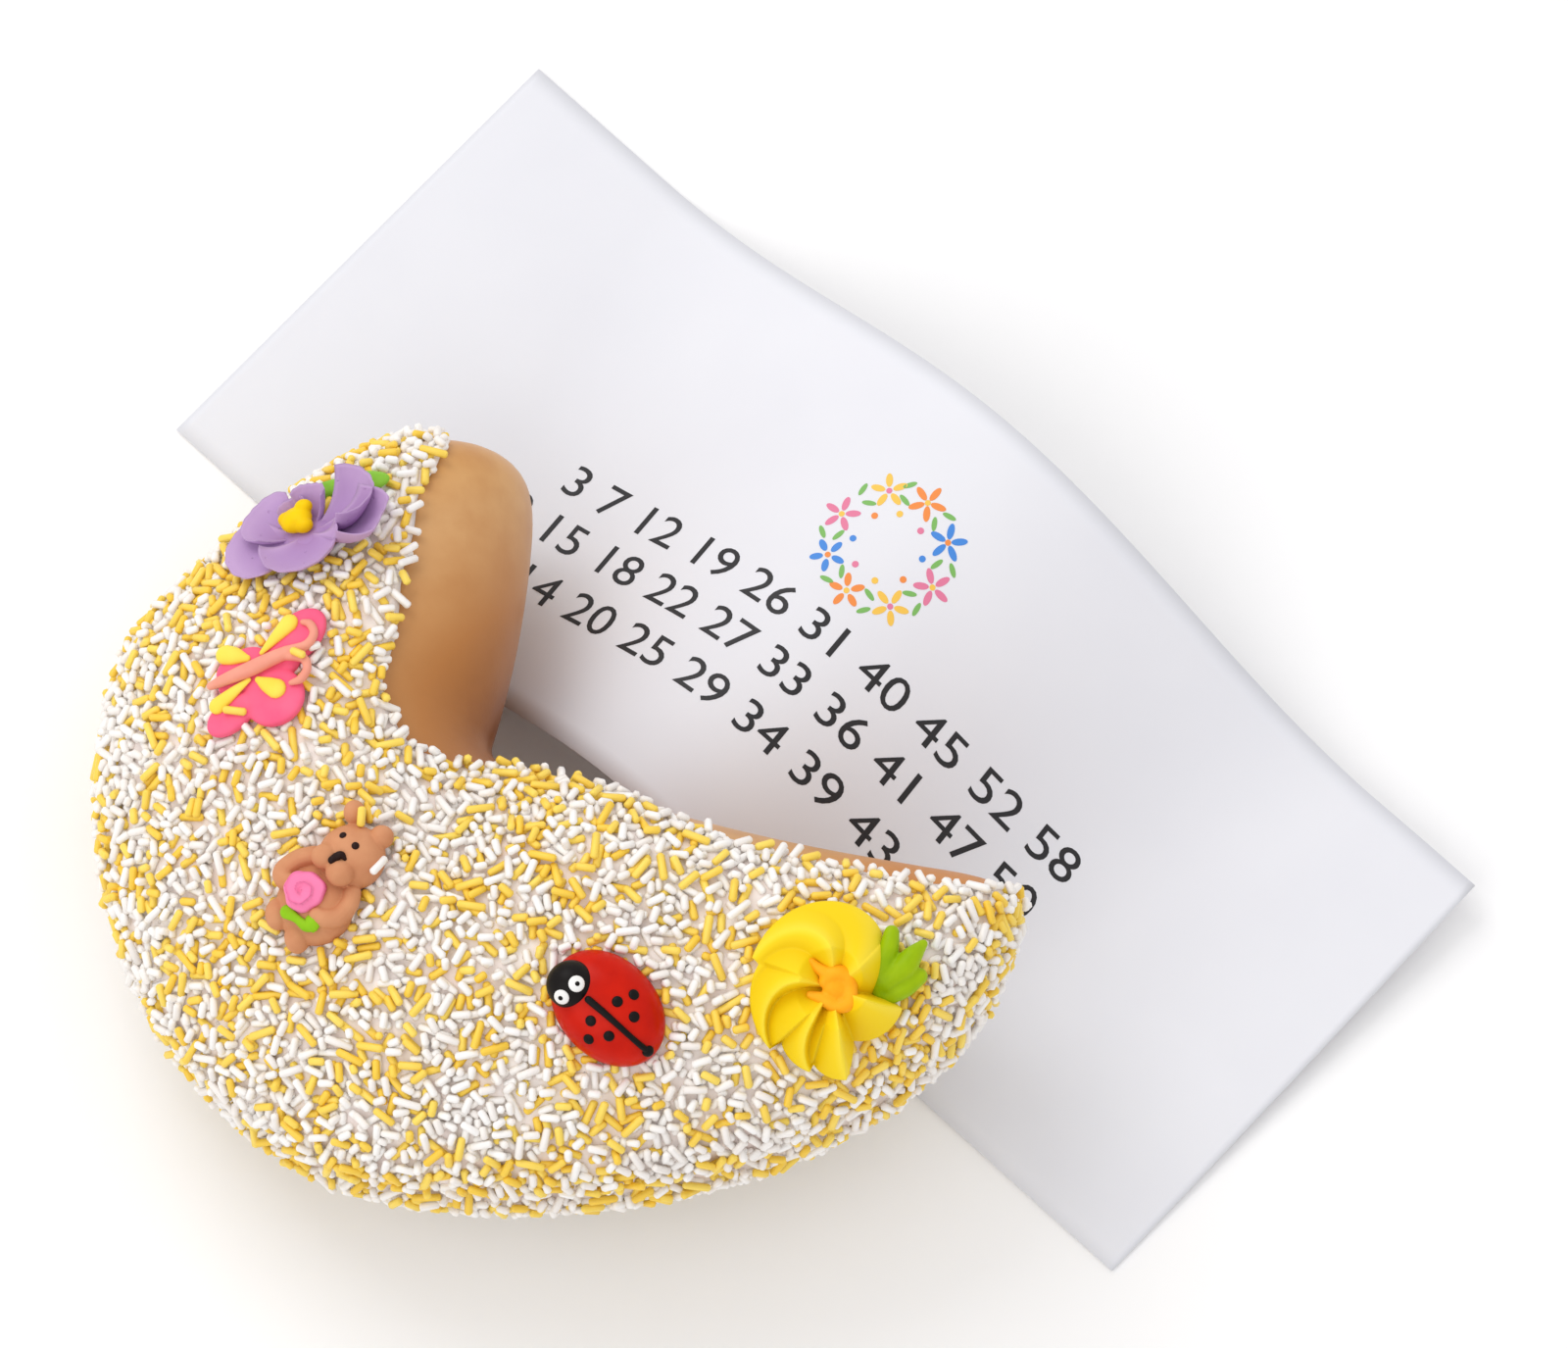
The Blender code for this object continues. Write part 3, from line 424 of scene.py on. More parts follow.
def coatingPiece():
    # two skins, joined along their edges; each ring is drawn together at both tips of the fold
    grown = (cookie["coatOutside"], cookie["coatInside"])
    outside, inside = ([coated for coated, _ in cookieRings(g, coating["edgeWave"])] for g in grown)
    rows, columns = len(outside), len(outside[0])
    points = [p for ring in outside + inside for p in ring]
    shift = rows * columns
    faces = gridFaces(rows, columns)
    faces += [tuple(i + shift for i in face[::-1]) for face in gridFaces(rows, columns)]
    edge = [i * columns for i in range(rows)] + [i * columns + columns - 1 for i in range(rows)][::-1]
    for a, b in zip(edge, edge[1:] + edge[:1]):
        if a // columns != b // columns:
            faces.append((a, b, b + shift, a + shift))
    for a, b in [(0, columns - 1), ((rows - 1) * columns, rows * columns - 1)]:
        points[b], points[b + shift] = points[a], points[a + shift]
    return meshPiece("whiteCoating", points, faces, coatingMaterial())


standFor(coatingPiece(), "white_coating", "white_coating")
print("coating made")


# Icing pieces, in millimetres from the spot that each group sits on: X towards the right, Z straight out.
# Royal icing dries matt and hard, and keeps the crests of the tip it was piped through

icingPlaces = {
    "violet": (-94.4, 6.4),
    "butterfly": (-103.4, -23.9),
    "bear": (-92.5, -73.1),
    "ladybug": (-35.3, -95.6),
    "dropFlower": (9.6, -92.2),
}

icing = {
    "foot": -0.9,
    "sheen": 0.12,
    "grainMm": 0.5,
    "patchMm": 6,
    "bubblesMm": 2.6,
}


def cookieTree(grown):
    rings = [coated + bare for coated, bare in cookieRings(grown)]
    points = [p for ring in rings for p in ring]
    return BVHTree.FromPolygons(points, gridFaces(len(rings), len(rings[0]), closed=True))


def seatFrame(tree, x, y):
    span, above, down = 8, 0.2, Vector((0, 0, -1))
    ways = ((1, 0), (-1, 0), (0, 1), (0, -1))
    near = [Vector(((x + a * span) * mm, (y + b * span) * mm, above)) for a, b in ways]
    east, west, north, south = (tree.ray_cast(place, down)[0] for place in near)
    out = (east - west).cross(north - south).normalized()
    right = (Vector((1, 0, 0)) - out * out.x).normalized()
    seat = Matrix((right, out.cross(right), out)).transposed().to_4x4()
    seat.translation = tree.ray_cast(Vector((x * mm, y * mm, above)), down)[0]
    return seat


solidTree = cookieTree(cookie["solidOutside"])
seats = {name: seatFrame(solidTree, *spot) for name, spot in icingPlaces.items()}


def ellipsoid(centre, radii, turn=0.0, steps=(40, 20), flat=1.0):
    # flat below one squares the sides off, as icing that was pressed a little
    around, rings = steps
    (cx, cy, cz), cosine, sine = centre, math.cos(math.radians(turn)), math.sin(math.radians(turn))
    points = []
    for i in range(rings + 1):
        tilt = math.pi * (i / rings - 0.5)
        for j in range(around):
            spin = 2 * math.pi * j / around
            wide = abs(math.cos(tilt)) ** flat
            x, y = radii[0] * wide * math.cos(spin), radii[1] * wide * math.sin(spin)
            z = radii[2] * math.copysign(abs(math.sin(tilt)) ** flat, math.sin(tilt))
            points.append((cx + x * cosine - y * sine, cy + x * sine + y * cosine, cz + z))
    return points, gridFaces(rings + 1, around, closed=True)


def smoothPath(path, steps=8):
    # a Catmull-Rom curve through the points; each point may carry its radius as a fourth value
    spots = [np.array(p, float) for p in path]
    spots = [2 * spots[0] - spots[1]] + spots + [2 * spots[-1] - spots[-2]]
    curve = []
    for a, b, c, d in zip(spots, spots[1:], spots[2:], spots[3:]):
        for i in range(steps):
            t = i / steps
            square, cube = 2 * a - 5 * b + 4 * c - d, 3 * b - a - 3 * c + d
            curve.append(0.5 * (2 * b + (c - a) * t + square * t**2 + cube * t**3))
    return curve + [spots[-2]]


def ropeForm(path, sides=14, flatten=1.0, steps=8):
    # a piped line whose points are (x, y, z, radius), with round ends
    curve = smoothPath(path, steps)
    points = []
    rows = 0
    for i, spot in enumerate(curve):
        way = Vector((curve[min(i + 1, len(curve) - 1)] - curve[max(i - 1, 0)])[:3]).normalized()
        side = Vector((0, 0, 1)).cross(way).normalized()
        up = way.cross(side)
        ends = [(0.0, 1.0)]
        if i == 0:
            ends = [(-0.97, 0.24), (-0.8, 0.6), (-0.45, 0.89), (0.0, 1.0)]
        elif i == len(curve) - 1:
            ends = [(0.0, 1.0), (0.45, 0.89), (0.8, 0.6), (0.97, 0.24)]
        for shift, share in ends:
            rows += 1
            middle = Vector(spot[:3]) + way * shift * spot[3]
            for k in range(sides):
                turn = 2 * math.pi * k / sides
                reach = spot[3] * share
                sideways, upwards = reach * math.cos(turn), reach * flatten * math.sin(turn)
                points.append(tuple(middle + side * sideways + up * upwards))
    faces = gridFaces(rows, sides, closed=True)
    faces += [tuple(range(sides))[::-1], tuple(range((rows - 1) * sides, rows * sides))]
    return points, faces


def petalForm(bearing, length, spread, lift, lip, low, thick=1.2, steps=30, start=(0.0, -1.5)):
    # a broad round petal like an open fan whose rim is drawn up and thins to an edge
    points, tones = [], []
    for side in (0, 1):
        for i in range(steps + 1):
            u = i / steps
            for j in range(steps + 1):
                v = 2 * j / steps - 1
                reach = length * (1 - 0.30 * abs(v) ** 3) * (1 + 0.02 * math.sin(5 * v + bearing))
                reach += 0.12 * math.sin(21 * v + bearing) * u**8
                turn = math.radians(bearing + spread * v * (0.55 + 0.45 * u**0.5))
                up = low + lift * u**1.6 + lip * u**5 + 0.5 * lip * abs(v) ** 4 * u
                up += 0.15 * math.sin(8 * u + 5 * v + bearing) * u
                rimwards = max(u**6, abs(v) ** 8)
                up -= side * thick * (1 - 0.62 * rimwards)
                x, y = reach * u * math.cos(turn), reach * u * math.sin(turn)
                points.append((start[0] + x, start[1] + y, up))
                # tone: paler towards the raised rim, and painted shade towards the foot, under the petals
                # laid over it
                tones.append(0.45 + 0.55 * rimwards - 0.35 * (1 - u) ** 2)
    return points, sheetFaces(steps + 1, steps + 1), tones


def swirlForm(petals, height, hollow, shift, rings=44, spokes=360, foot=-4.0):
    # a flower piped through a star tip in one twist: each face rises to a sharp crest and drops behind it
    points, tones = [(0.0, 0.0, hollow)], [0.0]

    def crests(out):
        return [petal[0] - petal[1] * (1 - out**3.5) for petal in petals]

    def face(turn, out):
        # which face a bearing lies on and how far up it, from the crest behind to its own
        edges = crests(out)
        for k, own in enumerate(edges):
            behind = edges[k - 1] - (360 if k == 0 else 0)
            share = ((turn - behind) % 360) / (own - behind)
            if share <= 1:
                return k, share
        return 0, 1.0

    for i in range(1, rings + 1):
        out = i / rings
        for j in range(spokes):
            turn = 360 * j / spokes
            k, share = face(turn, 1.0)
            length, notch, sharp = petals[k][2:5]
            reach = max(length * (1 - notch * (1 - share) ** sharp), petals[k - 1][2] * (1 - 2.2 * share))
            k, share = face(turn, out)
            ridge = max(share**1.15, 1 - (share / petals[k][5]) ** 1.3)
            crown = math.sin(math.pi * min(out * 0.66 + 0.28, 0.94)) ** 0.8
            up = hollow * (1 - out) ** 1.5 + height * (0.34 + 0.66 * ridge) * crown * min(1.0, 2.2 * out)
            x, y = reach * out * math.cos(math.radians(turn)), reach * out * math.sin(math.radians(turn))
            points.append((x + shift * out, y, up))
            # tone: a painted highlight up each crest and painted shade down in the troughs
            tones.append(0.15 + 0.85 * max(ridge, 0) ** 1.6)
    last = 1 + (rings - 1) * spokes
    for x, y, _ in points[last : last + spokes]:
        points.append((x * 0.92, y * 0.92, foot))
        tones.append(0.2)
    points.append((0.0, 0.0, foot))
    tones.append(0.2)
    return points, moundFaces(rings, spokes), tones


def icingMaterial(name, colour, shade, roughness=0.5, tone=None, pits=0.0, edge=None):
    # tone names an attribute that goes from painted shade at the folds to the colour, and to a painted
    # highlight if edge is given
    material, tree, shader = newMaterial(name)
    place = addNode(tree, "ShaderNodeTexCoord").outputs["Object"]
    if tone:
        source = addNode(tree, "ShaderNodeAttribute", {"attribute_name": tone}).outputs["Fac"]
        # here the shade stop is painted shade and the edge stop a painted highlight
        stops = [(0.1, shade), (0.75, colour)] + ([(0.97, edge)] if edge else [])
    else:
        scale = {"Scale": 1000 / icing["patchMm"], "Detail": 3}
        source = addNode(tree, "ShaderNodeTexNoise", scale, Vector=place).outputs["Fac"]
        stops = [(0.35, colour), (0.75, shade)]
    mixed = addNode(tree, "ShaderNodeValToRGB", {"stops": stops}, Fac=source)
    grain = addNode(tree, "ShaderNodeTexNoise", {"Scale": 1000 / icing["grainMm"], "Detail": 2}, Vector=place)
    depth = {"Strength": 0.15, "Distance": 0.1 * mm}
    normal = addNode(tree, "ShaderNodeBump", depth, Height=grain.outputs["Fac"]).outputs["Normal"]
    if pits:
        dots = addNode(tree, "ShaderNodeTexVoronoi", {"Scale": 1000 / icing["bubblesMm"]}, Vector=place)
        span = {"From Min": 0.05, "From Max": 0.13}
        hole = addNode(tree, "ShaderNodeMapRange", span, Value=dots.outputs["Distance"]).outputs["Result"]
        depth = {"Strength": pits, "Distance": 0.4 * mm}
        normal = addNode(tree, "ShaderNodeBump", depth, Height=hole, Normal=normal).outputs["Normal"]
    finishMaterial(tree, shader, mixed.outputs["Color"], normal, roughness, icing["sheen"])
    return material


def icingPiece(name, forms, seat, material, slot, nodes=(), voxel=0.0, smooth=0, cut=True, tones=None):
    # joins the forms, melts them into one skin where voxel is given, trims the foot and seats the piece
    points, faces = joined(forms)
    piece = meshPiece(name, [Vector(p) * mm for p in points], faces, material, 0.001 * mm, tones)
    if voxel:
        remesh = piece.modifiers.new("melt", "REMESH")
        remesh.mode, remesh.voxel_size = "VOXEL", voxel * mm
        if smooth:
            soften = piece.modifiers.new("soften", "SMOOTH")
            soften.factor, soften.iterations = 0.5, smooth
        piece = applied(piece, name)
        piece.data.shade_smooth()
        if not piece.data.materials:
            piece.data.materials.append(material)
    if cut:
        bm = bmesh.new()
        bm.from_mesh(piece.data)
        cutEdges = bmesh.ops.bisect_plane(
            bm,
            geom=bm.verts[:] + bm.edges[:] + bm.faces[:],
            plane_co=(0, 0, icing["foot"] * mm),
            plane_no=(0, 0, -1),
            clear_outer=True,
        )["geom_cut"]
        edges = [g for g in cutEdges if isinstance(g, bmesh.types.BMEdge)]
        bmesh.ops.triangle_fill(bm, edges=edges, use_beauty=True)
        bmesh.ops.recalc_face_normals(bm, faces=bm.faces)
        bm.to_mesh(piece.data)
        bm.free()
    piece.data.transform(seats[seat])
    standFor(piece, slot, *nodes)
    return piece


# Violet flower: thin petals piped one over another, a peaked yellow middle and a leaf behind

violet = {
    # piped violet icing: matt, with burst bubbles; paler towards the raised rims, with painted shade towards
    # each petal's foot
    "petalIcing": {
        "name": "violet royal icing, piped and dried",
        "colour": "#C2A1CA",
        "shade": "#A47EB4",
        "tone": "tone",
        "pits": 0.5,
        "roughness": 0.55,
    },
    # deep yellow icing, dropped on soft, so a little smoother
    "middleIcing": {
        "name": "deep yellow royal icing, piped and dried",
        "colour": "#F8CE00",
        "shade": "#E9B800",
        "roughness": 0.45,
    },
    # green icing from a leaf tip: matt and even
    "leafIcing": {"name": "leaf green royal icing, piped and dried", "colour": "#8BC43F", "shade": "#74AE2C"},
    # each petal: bearing, length, half spread, lift, raised lip, height of its foot
    "petals": [
        (112, 7.5, 36, 4.0, 1.2, 1.0),
        (66, 9.0, 36, 4.6, 1.6, 1.2),
        (2, 17.5, 34, 4.6, 3.2, 1.6),
        (150, 13.5, 42, 3.2, 1.2, 1.4),
        (190, 17.0, 44, 1.4, 0.8, 1.9),
        (338, 21.5, 25, 2.6, 3.6, 2.3),
        (272, 13.5, 62, 0.8, 2.6, 2.7),
    ],
    "base": ((0, -1.5, 1.0), (6.0, 6.0, 2.2)),
    "centre": [
        ((-1.2, 0.4, 4.8), (3.4, 3.0, 2.2)),
        ((0.9, 2.2, 6.0), (1.9, 1.5, 1.6)),
        ((-3.2, 1.0, 5.2), (1.8, 1.5, 1.5)),
        ((0.4, -1.6, 4.6), (2.0, 1.6, 1.6)),
    ],
    "leaf": [
        ((10.5, 9.0, 1.6), (7.5, 3.0, 1.5), -12),
        ((4.0, 9.6, 2.0), (4.2, 2.0, 1.4), 6),
    ],
}


def buildViolet():
    petals = [petalForm(*values) for values in violet["petals"]]
    base = ellipsoid(*violet["base"])
    forms = [petal[:2] for petal in petals] + [base]
    # the base below the petals takes painted shade
    tones = [tone for petal in petals for tone in petal[2]] + [0.3] * len(base[0])
    skin, nodes = icingMaterial(**violet["petalIcing"]), ["violet_petals"]
    icingPiece("violetPetals", forms, "violet", skin, "violet_icing", nodes, cut=False, tones=tones)
    yolk = icingMaterial(**violet["middleIcing"])
    lumps = [ellipsoid(*lump) for lump in violet["centre"]]
    icingPiece("violetCentre", lumps, "violet", yolk, "gold_icing", ["violet_centre"], 0.28, 2, cut=False)
    green = icingMaterial(**violet["leafIcing"])
    leaf = [ellipsoid(*lump) for lump in violet["leaf"]]
    icingPiece("violetLeaf", leaf, "violet", green, "green_icing", ["violet_leaf"], 0.28, 4)


# Butterfly: flat poured wings, a piped body with curled feelers and four teardrops

butterfly = {
    # icing poured thin enough to level itself, so smoother than piped icing
    "wingIcing": {
        "name": "pink royal icing, poured and dried",
        "colour": "#FA6A8C",
        "shade": "#F25C82",
        "roughness": 0.48,
    },
    # lines and teardrops piped over the wings: matt, with soft round edges
    "bodyIcing": {"name": "peach royal icing, piped and dried", "colour": "#F0A28C", "shade": "#E8937E"},
    "dropIcing": {"name": "pale yellow royal icing, dropped on", "colour": "#FBE25C", "shade": "#F6D648"},
    "wings": [
        ((7.0, 5.9, 0.8), (7.4, 4.8, 1.6), 40),
        ((-4.6, 1.6, 0.8), (5.6, 3.2, 1.5), 22),
        ((2.6, -6.3, 0.8), (6.4, 6.2, 1.6), 0),
        ((-6.6, -8.8, 0.8), (5.8, 3.6, 1.5), 35),
        ((-1.0, -0.6, 0.2), (9.0, 3.6, 1.7), 15),
    ],
    # each piped line has points of x, y, z and radius
    "lines": [
        [
            (-10.5, -2.6, 2.5, 0.9),
            (-7, -1.7, 2.8, 1.3),
            (-2, -0.4, 3, 1.6),
            (3, 1.3, 3, 1.5),
            (6.2, 2.2, 2.9, 1.4),
        ],
        [
            (6, 2.2, 2.9, 1.3),
            (10, 3.2, 2.8, 1),
            (11.6, 5.4, 2.8, 0.9),
            (10.8, 7.6, 2.8, 0.9),
            (9.2, 8.3, 2.8, 0.6),
        ],
        [
            (5.2, 1.8, 2.9, 1.2),
            (9.2, 0.6, 2.8, 1),
            (10.3, -1.7, 2.8, 0.9),
            (9, -3.9, 2.8, 0.9),
            (6.9, -4.5, 2.8, 0.6),
        ],
    ],
    "drops": [
        [(0.3, 3.1, 2.4, 0.5), (3.0, 5.6, 2.6, 1.2), (6.2, 8.6, 2.6, 1.9)],
        [(-2.9, 2.3, 2.4, 0.8), (-5.2, 3.1, 2.5, 1.8), (-7.4, 3.7, 2.5, 2.1)],
        [(-2.4, -2.4, 2.4, 0.5), (-5.6, -4.6, 2.5, 1.2), (-9.0, -7.1, 2.5, 1.8)],
        [(-0.4, -2.6, 2.4, 0.7), (1.6, -4.0, 2.6, 1.6), (3.6, -5.2, 2.6, 2.1)],
    ],
}


def buildButterfly():
    pink = icingMaterial(**butterfly["wingIcing"])
    wings = [ellipsoid(*wing, flat=0.6) for wing in butterfly["wings"]]
    icingPiece("butterflyWings", wings, "butterfly", pink, "pink_icing", ["butterfly_wings"], 0.3, 5)
    peach = icingMaterial(**butterfly["bodyIcing"])
    body, nodes = [ropeForm(path) for path in butterfly["lines"]], ["butterfly_body"]
    icingPiece("butterflyBody", body, "butterfly", peach, "peach_icing", nodes, 0.22, 4, cut=False)
    lemon = icingMaterial(**butterfly["dropIcing"])
    for i, path in enumerate(butterfly["drops"], 1):
        drop = [ropeForm(path, sides=20, flatten=0.6)]
        node = f"butterfly_spot_{i}"
        icingPiece(f"butterflyDrop{i}", drop, "butterfly", lemon, "pale_yellow_icing", [node], cut=False)


# Bear: round head and body in one skin, arms round a rose

bear = {
    # a stiff paste rolled into balls and pressed together: matt, soft and even
    "pasteIcing": {
        "name": "tan royal icing, moulded and dried",
        "colour": "#D3946B",
        "shade": "#C4825B",
        "roughness": 0.52,
    },
    # dots of food colour, which stay a little wet to the eye
    "inkIcing": {
        "name": "dark brown icing, dotted on",
        "colour": "#2A1714",
        "shade": "#1E100E",
        "roughness": 0.4,
    },
    # a rose wound up from a thin ribbon, with painted shade in a darker line under each turn
    "roseIcing": {
        "name": "rose pink royal icing, piped and dried",
        "colour": "#F683AE",
        "shade": "#D95C8C",
        "tone": "tone",
    },
    "leafIcing": {"name": "yellow green royal icing, piped", "colour": "#93C81E", "shade": "#7FB40E"},
    "balls": [
        ((0, 0, 0.5), (8.2, 8.4, 5.0)),
        ((7.6, 9.0, 0.8), (6.9, 6.6, 6.0)),
        ((8.2, 18.0, 1.0), (2.2, 2.5, 2.2)),
        ((13.9, 12.8, 1.0), (2.5, 2.4, 2.3)),
        ((-7.4, -1.8, 1.8), (2.7, 3.3, 2.6)),
        ((-3.4, -6.6, 1.8), (2.6, 3.4, 2.6)),
        ((3.6, 8.8, 5.2), (2.9, 2.6, 2.6)),
        ((6.8, 5.4, 5.4), (3.0, 2.8, 2.8)),
    ],
    "arms": [
        [
            (0.4, 9.6, 2.6, 1.9),
            (-3, 8.8, 2.8, 2),
            (-6, 6.6, 2.8, 2.1),
            (-5.4, 4.6, 3.8, 2),
            (-3.6, 4, 4.6, 1.7),
        ],
        [
            (8.4, 1.6, 2.6, 1.8),
            (7.8, -0.8, 3, 1.9),
            (5.6, -3.2, 3.4, 2.1),
            (3, -3.4, 4.4, 2),
            (1.8, -2.8, 4.8, 1.7),
        ],
    ],
    "rose": ((-0.7, 2.0, 6.0), (4.4, 4.2, 1.9)),
    "roseTurns": 1.9,
    "leaf": [(-4.4, -2.0, 5.2, 1.5), (-2.4, -3.4, 5.4, 0.9), (-0.6, -4.8, 5.2, 1.2), (0.6, -4.6, 5.2, 1.9)],
    "eyes": [(7.4, 12.8, 0.75), (10.2, 10.5, 0.8)],
    "nose": [(5.7, 7.5, 0.85), (6.7, 8.4, 0.9), (7.6, 8.6, 0.8), (8.2, 7.9, 0.4)],
}


def dropOn(piece, seat, x, y):
    # where a line down the group's own upright meets a piece, and the way out of it there
    start, down = seats[seat] @ (Vector((x, y, 30)) * mm), -seats[seat].col[2].xyz
    tree = BVHTree.FromObject(piece, bpy.context.evaluated_depsgraph_get())
    spot, out = tree.ray_cast(start, down)[:2]
    return spot, out


def dotPiece(name, host, seat, dots, material, slot, nodes=(), height=0.55, lift=0.0, steps=(20, 12)):
    # small piped dots (x, y, radius) that lie on a piece
    forms = []
    for x, y, radius in dots:
        spot, out = dropOn(host, seat, x, y)
        place = Matrix.Translation(spot + out * lift * mm) @ out.to_track_quat("Z", "X").to_matrix().to_4x4()
        points, faces = ellipsoid((0, 0, 0), (radius, radius, radius * height), steps=steps)
        forms.append(([place @ (Vector(p) * mm) for p in points], faces))
    piece = meshPiece(name, *joined(forms), material, merge=0.001 * mm)
    standFor(piece, slot, *nodes)


def linePiece(name, host, seat, path, material, slot, nodes=(), sides=12):
    # a piped line (x, y, radius) that follows a piece's surface
    toSeat = seats[seat].inverted()
    line = []
    for x, y, radius in smoothPath(path, 6):
        spot, out = dropOn(host, seat, x, y)
        line.append((*(toSeat @ (spot + out * radius * 0.35 * mm) / mm), radius))
    return icingPiece(name, [ropeForm(line, sides=sides, steps=2)], seat, material, slot, nodes, cut=False)


def roseForm(centre, radii, turns, rings=26, spokes=72, foot=-1.6):
    # a low mound with one spiral ledge
    (cx, cy, cz), (rx, ry, rz) = centre, radii
    points, tones = [(cx, cy, cz + rz)], [1.0]
    for i in range(1, rings + 1):
        out = i / rings
        for j in range(spokes):
            turn = 2 * math.pi * j / spokes
            coil = (out * turns + j / spokes) % 1.0
            ledge = coil**3 if out > 0.12 else 0.0
            dome = rz * math.sqrt(max(0.0, 1 - out**3))
            edge = 1 + 0.05 * math.sin(3 * turn + 1) + 0.03 * math.sin(7 * turn)
            x, y = rx * out * edge * math.cos(turn), ry * out * edge * math.sin(turn)
            points.append((cx + x, cy + y, cz + dome + 0.9 * ledge - 0.6))
            # tone: painted shade along the spiral ledge, under each turn
            tones.append(0.35 + 0.65 * (1 - ledge))
    points += [(x * 0.95 + cx * 0.05, y * 0.95 + cy * 0.05, cz + foot) for x, y, _ in points[-spokes:]]
    points.append((cx, cy, cz + foot))
    return points, moundFaces(rings, spokes), tones + [0.4] * (spokes + 1)


def buildBear():
    tan = icingMaterial(**bear["pasteIcing"])
    forms = [ellipsoid(*ball) for ball in bear["balls"]] + [ropeForm(path) for path in bear["arms"]]
    host = icingPiece("bearFigure", forms, "bear", tan, "tan_icing", ["bear"], 0.24, 1)
    dark = icingMaterial(**bear["inkIcing"])
    dotPiece("bearEyes", host, "bear", bear["eyes"], dark, "black_icing")
    linePiece("bearNose", host, "bear", bear["nose"], dark, "black_icing")
    pink = icingMaterial(**bear["roseIcing"])
    *rose, tones = roseForm(*bear["rose"], bear["roseTurns"])
    icingPiece("bearRose", [tuple(rose)], "bear", pink, "rose_icing", ["bear_rose"], cut=False, tones=tones)
    green = icingMaterial(**bear["leafIcing"])
    leaf = [ropeForm(bear["leaf"], flatten=0.6)]
    icingPiece("bearLeaf", leaf, "bear", green, "green_icing", ["bear_leaf"], cut=False)


# Ladybug: a glossy moulded shell, black head with googly eyes, a middle line and six dots

ladybug = {
    # sugar paste pressed in a mould and glazed: the smoothest of the icings
    "shellIcing": {
        "name": "red royal icing, moulded and glazed",
        "colour": "#CD1C05",
        "shade": "#BA1403",
        "roughness": 0.3,
    },
    "blackIcing": {
        "name": "black royal icing, moulded and dried",
        "colour": "#171312",
        "shade": "#0F0C0C",
        "roughness": 0.38,
    },
    # dots that ran smooth before they dried
    "whiteIcing": {
        "name": "white royal icing, dotted on",
        "colour": "#F2F1EE",
        "shade": "#E4E2DE",
        "roughness": 0.4,
    },
    "shell": ((0.8, -0.4, 0.2), (13.0, 9.8, 7.4), -47),
    "head": ((-6.2, 4.2, 4.2), (5.0, 4.9, 4.4)),
    "eyes": [(-4.9, 4.3, 1.65), (-7.9, 1.7, 1.6)],
    "pupils": [(-4.85, 4.3, 0.5), (-7.9, 1.75, 0.5)],
    "line": [(-2.6, 1.2, 0.75), (0.5, -1.4, 0.7), (3.4, -4.0, 0.62), (6.0, -6.4, 0.6), (8.4, -8.5, 0.65)],
    "lineEnd": (8.9, -8.9, 1.25),
    "dots": [(3.1, 0.8), (6.3, 2.2), (6.4, -2.2), (-2.2, -3.0), (-2.7, -6.6), (1.4, -6.0)],
    "dotRadius": 1.12,
}


def buildLadybug():
    red = icingMaterial(**ladybug["shellIcing"])
    black = icingMaterial(**ladybug["blackIcing"])
    white = icingMaterial(**ladybug["whiteIcing"])
    shell = [ellipsoid(*ladybug["shell"], steps=(72, 36), flat=0.92)]
    body = icingPiece("ladybugShell", shell, "ladybug", red, "red_icing", ["ladybug_shell"])
    ball = [ellipsoid(*ladybug["head"], steps=(56, 28))]
    head = icingPiece("ladybugHead", ball, "ladybug", black, "black_icing", ["ladybug_head"])
    for i, eye in enumerate(ladybug["eyes"], 1):
        dotPiece(f"ladybugEye{i}", head, "ladybug", [eye], white, "white_icing", [f"ladybug_eye_{i}"], 0.42)
    pupils = ladybug["pupils"]
    dotPiece("ladybugPupils", head, "ladybug", pupils, black, "black_icing", (), 0.5, 0.62, (16, 10))
    linePiece("ladybugLine", body, "ladybug", ladybug["line"], black, "black_icing", ["ladybug_line"])
    dotPiece("ladybugTail", body, "ladybug", [ladybug["lineEnd"]], black, "black_icing", (), 0.9)
    for i, (x, y) in enumerate(ladybug["dots"], 1):
        dot, node = (x, y, ladybug["dotRadius"]), f"ladybug_spot_{i}"
        dotPiece(f"ladybugDot{i}", body, "ladybug", [dot], black, "black_icing", [node], 0.4)


# Yellow flower: piped through a star tip in one twist, with an orange middle and a ruffled leaf

